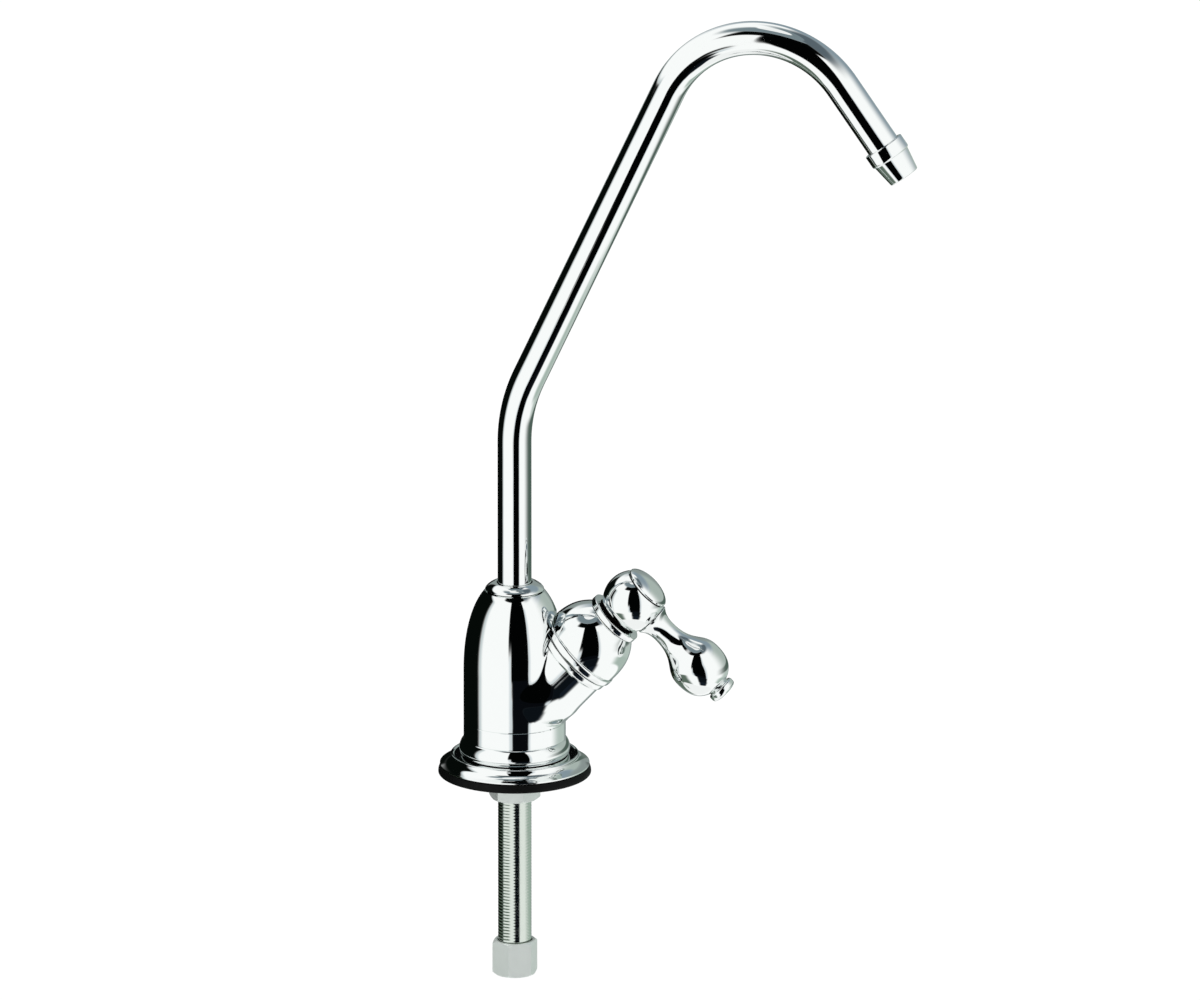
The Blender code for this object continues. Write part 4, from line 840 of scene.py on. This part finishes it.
def make_cap(chrome):
    seat = math.sqrt(BALL_RADIUS ** 2 - CAP_RADIUS ** 2)
    rim = seat + CAP_RIM
    apex = rim + CAP_RISE
    dome = curve(
        (CAP_RADIUS, rim), (CAP_RADIUS * 0.9, rim + CAP_RISE * 0.55),
        (CAP_RADIUS * 0.5, apex), (0.0, apex))
    plug = [
        (0.0, seat - CAP_PLUG_LENGTH),
        (CAP_PLUG_RADIUS, seat - CAP_PLUG_LENGTH),
        (CAP_PLUG_RADIUS, seat),
        (CAP_RADIUS, seat, CAP_EDGE_ROUND),
    ]
    form = turned(softened(plug, dome))
    dress(to_object("handle_cap_skin", form, HANDLE), "handle", chrome, "polished_chrome", "handle_cap")


def make_lever(chrome):
    root = LEVER_SEAT + CLEARANCE
    waist = root + LEVER_WAIST_AT
    belly = root + LEVER_BELLY_AT
    end = root + LEVER_LENGTH
    tip = end + FINIAL_LENGTH
    growth = belly - waist
    stud = [
        (0.0, root - LEVER_STUD_LENGTH + CLEARANCE),
        (LEVER_STUD_RADIUS, root - LEVER_STUD_LENGTH + CLEARANCE),
        (LEVER_STUD_RADIUS, root),
        (LEVER_ROOT_RADIUS, root, SOFT_EDGE),
    ]
    flare = curve(
        (LEVER_ROOT_RADIUS, root + CLEARANCE), (LEVER_ROOT_RADIUS * 0.83, root + LEVER_WAIST_AT * 0.24),
        (LEVER_WAIST_RADIUS, root + LEVER_WAIST_AT * 0.49), (LEVER_WAIST_RADIUS, waist))
    swell = curve(
        (LEVER_WAIST_RADIUS, waist), (LEVER_WAIST_RADIUS, waist + growth * 0.61),
        (LEVER_BELLY_RADIUS, belly - growth * 0.43), (LEVER_BELLY_RADIUS, belly), CURVE_STEPS * 2)
    close = curve(
        (LEVER_BELLY_RADIUS, belly), (LEVER_BELLY_RADIUS, belly + (end - belly) * 0.55),
        (LEVER_BELLY_RADIUS * 0.83, end - (end - belly) * 0.17), (LEVER_END_RADIUS, end))
    finial = [
        (FINIAL_NECK_RADIUS, end + CLEARANCE, SOFT_EDGE),
        (FINIAL_RADIUS - CLEARANCE, end + CLEARANCE * 2, SOFT_EDGE),
        (FINIAL_RADIUS, end + CLEARANCE * 3.5, EASED_EDGE),
        (FINIAL_RADIUS, tip - CLEARANCE * 4, ROUND_EDGE),
        (FINIAL_RADIUS * 0.93, tip - CLEARANCE * 2, ROUND_EDGE),
        (FINIAL_RADIUS * 0.7, tip - CLEARANCE * 0.5, FINIAL_TIP_ROUND),
        (0.0, tip),
    ]
    form = turned(softened(stud, flare, swell, close, finial))
    dress(to_object("lever_skin", form, LEVER), "handle", chrome, "polished_chrome", "lever")


def spout_stations():
    """Points of the tube's centre line in the spout's plane, each with its lean from upright."""
    lean = math.radians(SPOUT_LEAN)
    tip_lean = math.radians(SPOUT_TIP_LEAN)
    stations = [(0.0, SOCKET_FLOOR + TUBE_FOOT + CLEARANCE, 0.0)]
    steps = math.ceil(SPOUT_LEAN / DEGREES_PER_STEP)
    for step in range(steps + 1):
        angle = lean * step / steps
        across = LOWER_BEND_RADIUS * (1.0 - math.cos(angle))
        stations.append((across, SPOUT_RISE + LOWER_BEND_RADIUS * math.sin(angle), angle))
    across, height, _ = stations[-1]
    centre_across = across + SPOUT_LEG * math.sin(lean) + TOP_BEND_RADIUS * math.cos(lean)
    centre_height = height + SPOUT_LEG * math.cos(lean) - TOP_BEND_RADIUS * math.sin(lean)
    steps = math.ceil((SPOUT_TIP_LEAN - SPOUT_LEAN) / DEGREES_PER_STEP)
    for step in range(steps + 1):
        angle = lean + (tip_lean - lean) * step / steps
        across = centre_across - TOP_BEND_RADIUS * math.cos(angle)
        stations.append((across, centre_height + TOP_BEND_RADIUS * math.sin(angle), angle))
    across, height, _ = stations[-1]
    end = (across + SPOUT_TIP * math.sin(tip_lean), height + SPOUT_TIP * math.cos(tip_lean))
    stations.append((*end, tip_lean))
    return stations


def make_tube(chrome):
    form = bmesh.new()
    loops = {TUBE_RADIUS: [], TUBE_RADIUS - TUBE_WALL: []}
    for across, height, lean in spout_stations():
        for radius, sections in loops.items():
            section = []
            for index in range(TUBE_SEGMENTS):
                angle = math.tau * index / TUBE_SEGMENTS
                out = radius * math.cos(angle)
                section.append(form.verts.new((
                    across + out * math.cos(lean), radius * math.sin(angle), height - out * math.sin(lean))))
            sections.append(section)
    outer, inner = loops.values()
    bands = list(zip(outer, outer[1:])) + list(zip(inner, inner[1:]))
    bands += [(outer[0], inner[0]), (outer[-1], inner[-1])]
    for near, far in bands:
        for index in range(TUBE_SEGMENTS):
            after = (index + 1) % TUBE_SEGMENTS
            form.faces.new((near[index], near[after], far[after], far[index]))
    bmesh.ops.recalc_face_normals(form, faces=form.faces)
    dress(to_object("spout_tube_skin", form, SPOUT), "spout", chrome, "polished_chrome", "spout_tube")


def make_nozzle(chrome):
    across, height, lean = spout_stations()[-1]
    start = -NOZZLE_GRIP
    ring_end = start + NOZZLE_RING_LENGTH
    end = start + NOZZLE_LENGTH
    hole = TUBE_RADIUS + CLEARANCE
    form = turned(softened([
        (hole, start, BROKEN_EDGE),
        (NOZZLE_RING_RADIUS, start, ROUND_EDGE),
        (NOZZLE_RING_RADIUS, ring_end, ROUND_EDGE),
        (NOZZLE_SHOULDER_RADIUS, ring_end + CLEARANCE, SOFT_EDGE),
        (NOZZLE_END_RADIUS, end, ROUND_EDGE),
        (NOZZLE_BORE_RADIUS, end, EASED_EDGE),
        (NOZZLE_BORE_RADIUS, CLEARANCE),
        (hole, CLEARANCE),
    ]))
    matrix = SPOUT @ Matrix.Translation((across, 0.0, height)) @ Matrix.Rotation(lean, 4, "Y")
    dress(to_object("spout_nozzle_skin", form, matrix), "spout", chrome, "polished_chrome", "spout_nozzle")


def make_nut(name, nickel, flats, turn, bore, chamfer_top):
    """A nut with six corners, 60 degrees apart and turned off, where its solid stands."""
    low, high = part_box(name)
    corner = flats / math.sqrt(3.0)
    bar = prism(arc((0.0, 0.0), corner, turn, turn + 300.0, 5), low.z, high.z)
    piece = to_object(f"{name}_skin", bar)
    clear = corner + CLEARANCE
    beyond = CLEARANCE * 2
    narrow = flats / 2 - beyond * (clear - flats / 2) / NUT_CHAMFER
    limit = turned([
        (0.0, low.z - beyond),
        (narrow, low.z - beyond),
        (clear, low.z + NUT_CHAMFER),
        (clear, high.z - NUT_CHAMFER),
        (narrow if chamfer_top else clear, high.z + beyond),
        (0.0, high.z + beyond),
    ])
    carve(piece, limit, BASE, "INTERSECT")
    carve(piece, turned(bore(low.z, high.z)))
    dress(piece, "valve", nickel, "satin_nickel", name)


def lock_nut_bore(bottom, top):
    return [
        (0.0, bottom - CLEARANCE),
        (SHANK_RADIUS + NUT_CHAMFER, bottom - CLEARANCE),
        (THREAD_HOLE_RADIUS, bottom + NUT_CHAMFER - CLEARANCE),
        (THREAD_HOLE_RADIUS, top + CLEARANCE),
        (0.0, top + CLEARANCE),
    ]


def inlet_nut_bore(bottom, top):
    floor = bottom + INLET_NUT_FLOOR
    return [
        (0.0, bottom - CLEARANCE),
        (TUBE_HOLE_RADIUS, bottom - CLEARANCE),
        (TUBE_HOLE_RADIUS, floor - FERRULE_SEAT_DEPTH),
        (THREAD_HOLE_RADIUS, floor + FERRULE_NOSE),
        (THREAD_HOLE_RADIUS, top + CLEARANCE),
        (0.0, top + CLEARANCE),
    ]


def thread_tree(material):
    """Nodes that press a helical groove into an upright rod, fading out before its two ends."""
    tree = bpy.data.node_groups.new("rolled_thread", "GeometryNodeTree")
    face = tree.interface
    face.new_socket("Geometry", in_out="INPUT", socket_type="NodeSocketGeometry")
    for name in ("Radius", "Pitch", "Depth", "Bottom", "Top"):
        face.new_socket(name, in_out="INPUT", socket_type="NodeSocketFloat")
    face.new_socket("Geometry", in_out="OUTPUT", socket_type="NodeSocketGeometry")
    given = add(tree, "NodeGroupInput").outputs
    position = add(tree, "GeometryNodeInputPosition").outputs[0]
    spot = add(tree, "ShaderNodeSeparateXYZ", {0: position}).outputs
    share = calculate(tree, "DIVIDE", calculate(tree, "ARCTAN2", spot["Y"], spot["X"]), math.tau)
    phase = calculate(tree, "SUBTRACT", calculate(tree, "DIVIDE", spot["Z"], given["Pitch"]), share)
    groove = ramp(tree, calculate(tree, "PINGPONG", phase, 0.5), FLANK_START, FLANK_END, 0.0, 1.0)
    above = calculate(tree, "SUBTRACT", spot["Z"], given["Bottom"])
    below = calculate(tree, "SUBTRACT", given["Top"], spot["Z"])
    fade = add(tree, "ShaderNodeMapRange", {
        "Value": calculate(tree, "MINIMUM", above, below), "From Min": 0.0, "From Max": THREAD_RUNOUT,
        "To Min": 0.0, "To Max": 1.0}).outputs["Result"]
    flat = add(tree, "ShaderNodeCombineXYZ", {"X": spot["X"], "Y": spot["Y"]}).outputs[0]
    length = add(tree, "ShaderNodeVectorMath", {0: flat}, operation="LENGTH").outputs["Value"]
    inset = calculate(tree, "SUBTRACT", given["Radius"], length)
    skin = calculate(tree, "LESS_THAN", inset, THREAD_SKIN_DISTANCE)
    deep = calculate(tree, "MULTIPLY", calculate(tree, "MULTIPLY", groove, fade), given["Depth"])
    inward = calculate(tree, "MULTIPLY", calculate(tree, "MULTIPLY", deep, skin), -1.0)
    unit = add(tree, "ShaderNodeVectorMath", {0: flat}, operation="NORMALIZE").outputs[0]
    offset = add(tree, "ShaderNodeVectorMath", {0: unit, "Scale": inward}, operation="SCALE").outputs[0]
    moved = add(tree, "GeometryNodeSetPosition", {"Geometry": given["Geometry"], "Offset": offset})
    real = add(tree, "GeometryNodeRealizeInstances", {"Geometry": moved.outputs[0]})
    painted = add(tree, "GeometryNodeSetMaterial", {"Geometry": real.outputs[0], "Material": material})
    add(tree, "NodeGroupOutput", {"Geometry": painted.outputs[0]})
    return tree


def make_shank(nickel):
    """The hollow threaded shank: a rod with rows fine enough for its thread, then the groove."""
    low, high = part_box("shank")
    rows = math.ceil((high.z - low.z) / THREAD_PITCH * ROWS_PER_THREAD)
    side = straight((SHANK_RADIUS, low.z + CLEARANCE), (SHANK_RADIUS, high.z - CLEARANCE), rows)
    outline = [
        (SHANK_BORE_RADIUS, high.z),
        (SHANK_BORE_RADIUS, low.z + SHANK_FLARE),
        (SHANK_BORE_RADIUS + SHANK_FLARE, low.z),
        (SHANK_RADIUS - CLEARANCE, low.z),
        *side,
        (SHANK_RADIUS - CLEARANCE, high.z),
    ]
    piece = to_object("shank_skin", turned(outline, SHANK_SEGMENTS))
    tree = thread_tree(nickel)
    modifier = piece.modifiers.new("thread", "NODES")
    modifier.node_group = tree
    sizes = {
        "Radius": SHANK_RADIUS, "Pitch": THREAD_PITCH, "Depth": THREAD_DEPTH,
        "Bottom": low.z + CLEARANCE, "Top": high.z - CLEARANCE,
    }
    for item in tree.interface.items_tree:
        if item.item_type == "SOCKET" and item.name in sizes:
            modifier[item.identifier] = sizes[item.name]
    settle(piece)
    dress(piece, "valve", nickel, "satin_nickel", "shank")


def paint_inner_nodes(finishes):
    """Gives each CAD node that stays its real finish."""
    for name, material in finishes.items():
        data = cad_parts[name].data
        data.materials.clear()
        data.materials.append(material)


# The room: a wide floor just under the faucet, the light on matt surfaces, and one lamp
FLOOR_RADIUS = 12.0
FLOOR_DROP = 0.0002
FLOOR_GLOW = 0.95
ROOM_LIGHT = 0.8
LAMP_SIZE = 1.2
LAMP_POWER = 12.0
LAMP_PLACE = (-0.9, -0.9, 1.6)
LAMP_AIM = (0.0, 0.0, 0.1)


def make_floor():
    """A wide white floor: plain white to the camera, and it still takes the faucet's soft shadow."""
    form = bmesh.new()
    bmesh.ops.create_circle(form, cap_ends=True, segments=STUDIO_SEGMENTS, radius=FLOOR_RADIUS)
    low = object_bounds()[0].z
    floor = to_object("floor", form, Matrix.Translation((0.0, 0.0, low - FLOOR_DROP)))
    material = bpy.data.materials.new("white_floor")
    material.use_nodes = True
    tree = material.node_tree
    tree.nodes.clear()
    light_path = add(tree, "ShaderNodeLightPath")
    paper = add(tree, "ShaderNodeBsdfDiffuse", {"Color": linear("F2F2F2")})
    faint = add(tree, "ShaderNodeBsdfDiffuse", {"Color": linear("595959")})
    glow = add(tree, "ShaderNodeEmission", {"Color": linear("FFFFFF"), "Strength": FLOOR_GLOW})
    seen = add(tree, "ShaderNodeAddShader", {0: faint.outputs[0], 1: glow.outputs[0]})
    mixed = add(tree, "ShaderNodeMixShader", {
        0: light_path.outputs["Is Camera Ray"], 1: paper.outputs[0], 2: seen.outputs[0]})
    under = add(tree, "ShaderNodeNewGeometry").outputs["Backfacing"]
    clear = add(tree, "ShaderNodeBsdfTransparent")
    sided = add(tree, "ShaderNodeMixShader", {0: under, 1: mixed.outputs[0], 2: clear.outputs[0]})
    add(tree, "ShaderNodeOutputMaterial", {"Surface": sided.outputs[0]})
    floor.data.materials.append(material)
    floor.visible_glossy = False


# The studio tent as the metal sees it: dark cards on a white drum round the faucet. Each card has
# its first and last heading (0 toward -Y, 90 toward +X), its bottom and top, how far its sides and
# its ends fade, and its colour. The fades follow the eye's own curve, so that they look even.
DRUM_RADIUS = 0.3
DRUM_BOTTOM = -0.45
DRUM_TOP = 1.9
DRUM_GLOW = 1.08
EYE_CURVE = 2.2
CARDS = {
    "front": (0.5, 37.5, -0.052, 0.6, 1.5, 0.01, "020303"),
    "front_edge": (-6.0, 10.0, 0.05, 0.5, 1.5, 0.05, "020303"),
    "front_halo": (-3.0, 41.0, -0.09, 0.3, 4.0, 0.02, "D3DADE"),
    "front_foot": (3.0, 37.5, -0.09, -0.04, 2.0, 0.008, "080A0E"),
    "front_step": (9.0, 40.0, -0.21, -0.085, 4.0, 0.01, "0C1116"),
    "front_skirting": (11.0, 42.0, -0.38, -0.19, 7.0, 0.03, "141B24"),
    "front_lid": (-38.0, 57.0, 0.47, 0.74, 8.0, 0.02, "040606"),
    "right_lid": (55.0, 145.0, 0.46, 0.95, 12.0, 0.1, "59656D"),
    "ceiling": (-100.0, 165.0, 0.74, 1.65, 30.0, 0.12, "77858B"),
    "left": (-152.0, -80.0, -0.11, 0.275, 6.0, 0.015, "060A08"),
    "left_halo": (-155.0, -74.0, -0.12, 0.29, 7.0, 0.02, "C3CCCE"),
    "left_foot": (-180.0, -150.0, -0.11, 0.1, 5.0, 0.015, "080C0A"),
    "left_step": (-165.0, -80.0, -0.16, -0.09, 6.0, 0.01, "20271B"),
    "left_skirting": (-165.0, -35.0, -0.42, -0.155, 14.0, 0.02, "5E6D62"),
    "right": (104.0, 185.0, -0.035, 0.045, 34.0, 0.02, "4F6058"),
    "right_middle": (110.0, 185.0, 0.03, 0.24, 34.0, 0.03, "A9B5AF"),
    "right_high": (112.0, 185.0, 0.24, 0.48, 34.0, 0.04, "8696A0"),
    "right_foot": (115.0, 185.0, -0.1, -0.02, 22.0, 0.02, "B4C1BA"),
    "right_step": (96.0, 185.0, -0.2, -0.1, 18.0, 0.02, "A9B9B0"),
    "back": (158.0, 216.0, -0.22, 0.26, 10.0, 0.06, "8A9492"),
    "back_slot": (171.0, 203.0, 0.08, 0.11, 5.0, 0.008, "070808"),
}


def hang_card(tree, behind, heading, height, card):
    """Lays one card over what is behind it."""
    first, last, bottom, top, side_fade, end_fade, colour = card
    half = (last - first) / 2.0
    offset = calculate(tree, "SUBTRACT", heading, (first + last) / 2.0)
    away = calculate(tree, "ABSOLUTE", calculate(tree, "WRAP", offset, -180.0, 180.0))
    across = ramp(tree, away, half - side_fade, half + side_fade, 1.0, 0.0)
    foot = ramp(tree, height, bottom - end_fade, bottom + end_fade, 0.0, 1.0)
    head = ramp(tree, height, top - end_fade, top + end_fade, 1.0, 0.0)
    share = calculate(tree, "MULTIPLY", across, calculate(tree, "MULTIPLY", foot, head))
    left_bare = calculate(tree, "POWER", calculate(tree, "SUBTRACT", 1.0, share), EYE_CURVE)
    share = calculate(tree, "SUBTRACT", 1.0, left_bare)
    laid = add(tree, "ShaderNodeMix", {
        "Factor": share, "A": behind, "B": linear(colour)}, data_type="RGBA", blend_type="DARKEN")
    return laid.outputs["Result"]


def make_drum():
    """A drum that only reflections see, with the cards painted in light on its inside."""
    form = bmesh.new()
    bmesh.ops.create_cone(
        form, segments=STUDIO_SEGMENTS, radius1=DRUM_RADIUS, radius2=DRUM_RADIUS,
        depth=DRUM_TOP - DRUM_BOTTOM)
    centre = Matrix.Translation((0.0, 0.0, (DRUM_TOP + DRUM_BOTTOM) / 2.0))
    drum = to_object("studio_drum", form, centre)
    material = bpy.data.materials.new("studio_cards")
    material.use_nodes = True
    tree = material.node_tree
    tree.nodes.clear()
    place = add(tree, "ShaderNodeTexCoord").outputs["Object"]
    parts = add(tree, "ShaderNodeSeparateXYZ", {0: place}).outputs
    turn = calculate(tree, "ARCTAN2", parts["X"], calculate(tree, "MULTIPLY", parts["Y"], -1.0))
    heading = calculate(tree, "DEGREES", turn)
    tone = add(tree, "ShaderNodeRGB").outputs[0]
    tone.default_value = linear("FFFFFF")
    for card in CARDS.values():
        tone = hang_card(tree, tone, heading, parts["Z"], card)
    glow = add(tree, "ShaderNodeEmission", {"Color": tone, "Strength": DRUM_GLOW})
    add(tree, "ShaderNodeOutputMaterial", {"Surface": glow.outputs[0]})
    drum.data.materials.append(material)
    drum.visible_camera = False
    drum.visible_diffuse = False
    drum.visible_shadow = False
    drum.visible_transmission = False
    drum.visible_volume_scatter = False


def make_world():
    """White to the camera and above the drum, and an even light on the matt surfaces."""
    world = bpy.data.worlds.new("studio")
    bpy.context.scene.world = world
    world.use_nodes = True
    tree = world.node_tree
    tree.nodes.clear()
    rays = add(tree, "ShaderNodeLightPath").outputs
    even = add(tree, "ShaderNodeBackground", {"Color": linear("FFFFFF"), "Strength": ROOM_LIGHT})
    seen = add(tree, "ShaderNodeBackground", {"Color": linear("FFFFFF"), "Strength": 1.0})
    sight = calculate(tree, "MAXIMUM", rays["Is Camera Ray"], rays["Is Glossy Ray"])
    clear = calculate(tree, "MAXIMUM", sight, rays["Is Transmission Ray"])
    final = add(tree, "ShaderNodeMixShader", {0: clear, 1: even.outputs[0], 2: seen.outputs[0]})
    add(tree, "ShaderNodeOutputWorld", {"Surface": final.outputs[0]})


def make_softbox():
    """One broad lamp high on the left: it shapes the matt pieces and draws the soft shadow."""
    data = bpy.data.lights.new("softbox", "AREA")
    data.shape = "DISK"
    data.size = LAMP_SIZE
    data.energy = LAMP_POWER
    lamp = bpy.data.objects.new("softbox", data)
    lamp.location = LAMP_PLACE
    lamp.rotation_euler = (Vector(LAMP_AIM) - lamp.location).to_track_quat("-Z", "Y").to_euler()
    lamp.visible_glossy = False
    bpy.context.scene.collection.objects.link(lamp)


make_camera()
bpy.context.scene.view_settings.view_transform = "Standard"

chrome = polished_chrome()
painted_shade = painted_groove_shade()
thread_nickel = rolled_nickel()
nickel = satin_nickel()
rubber = nitrile_rubber()
steel = zinc_plate()
brass = turned_brass()
ceramic = lapped_ceramic()
acetal = natural_acetal()

make_gasket(rubber)
make_plate(chrome)
make_body(chrome)
make_bonnet(chrome)
make_collar(chrome)
make_hub(chrome, painted_shade)
make_cap(chrome)
make_lever(chrome)
make_tube(chrome)
make_nozzle(chrome)
make_nut("lock_nut", nickel, LOCK_NUT_FLATS, LOCK_NUT_TURN, lock_nut_bore, chamfer_top=False)
make_nut("inlet_nut", nickel, INLET_NUT_FLATS, INLET_NUT_TURN, inlet_nut_bore, chamfer_top=True)
make_shank(thread_nickel)
paint_inner_nodes({
    "clamp_washer": steel, "lock_washer": steel, "stem_clip": steel, "handle_screw": steel,
    "cartridge_body": brass, "cartridge_stem": brass, "spout_sleeve": brass,
    "fixed_disc": ceramic, "moving_disc": ceramic,
    "slip_washer": acetal, "ferrule": acetal,
    "cartridge_seal": rubber, "cartridge_oring": rubber,
    "stem_oring_lower": rubber, "stem_oring_upper": rubber,
    "spout_oring_lower": rubber, "spout_oring_upper": rubber,
})
make_floor()
make_drum()
make_world()
make_softbox()
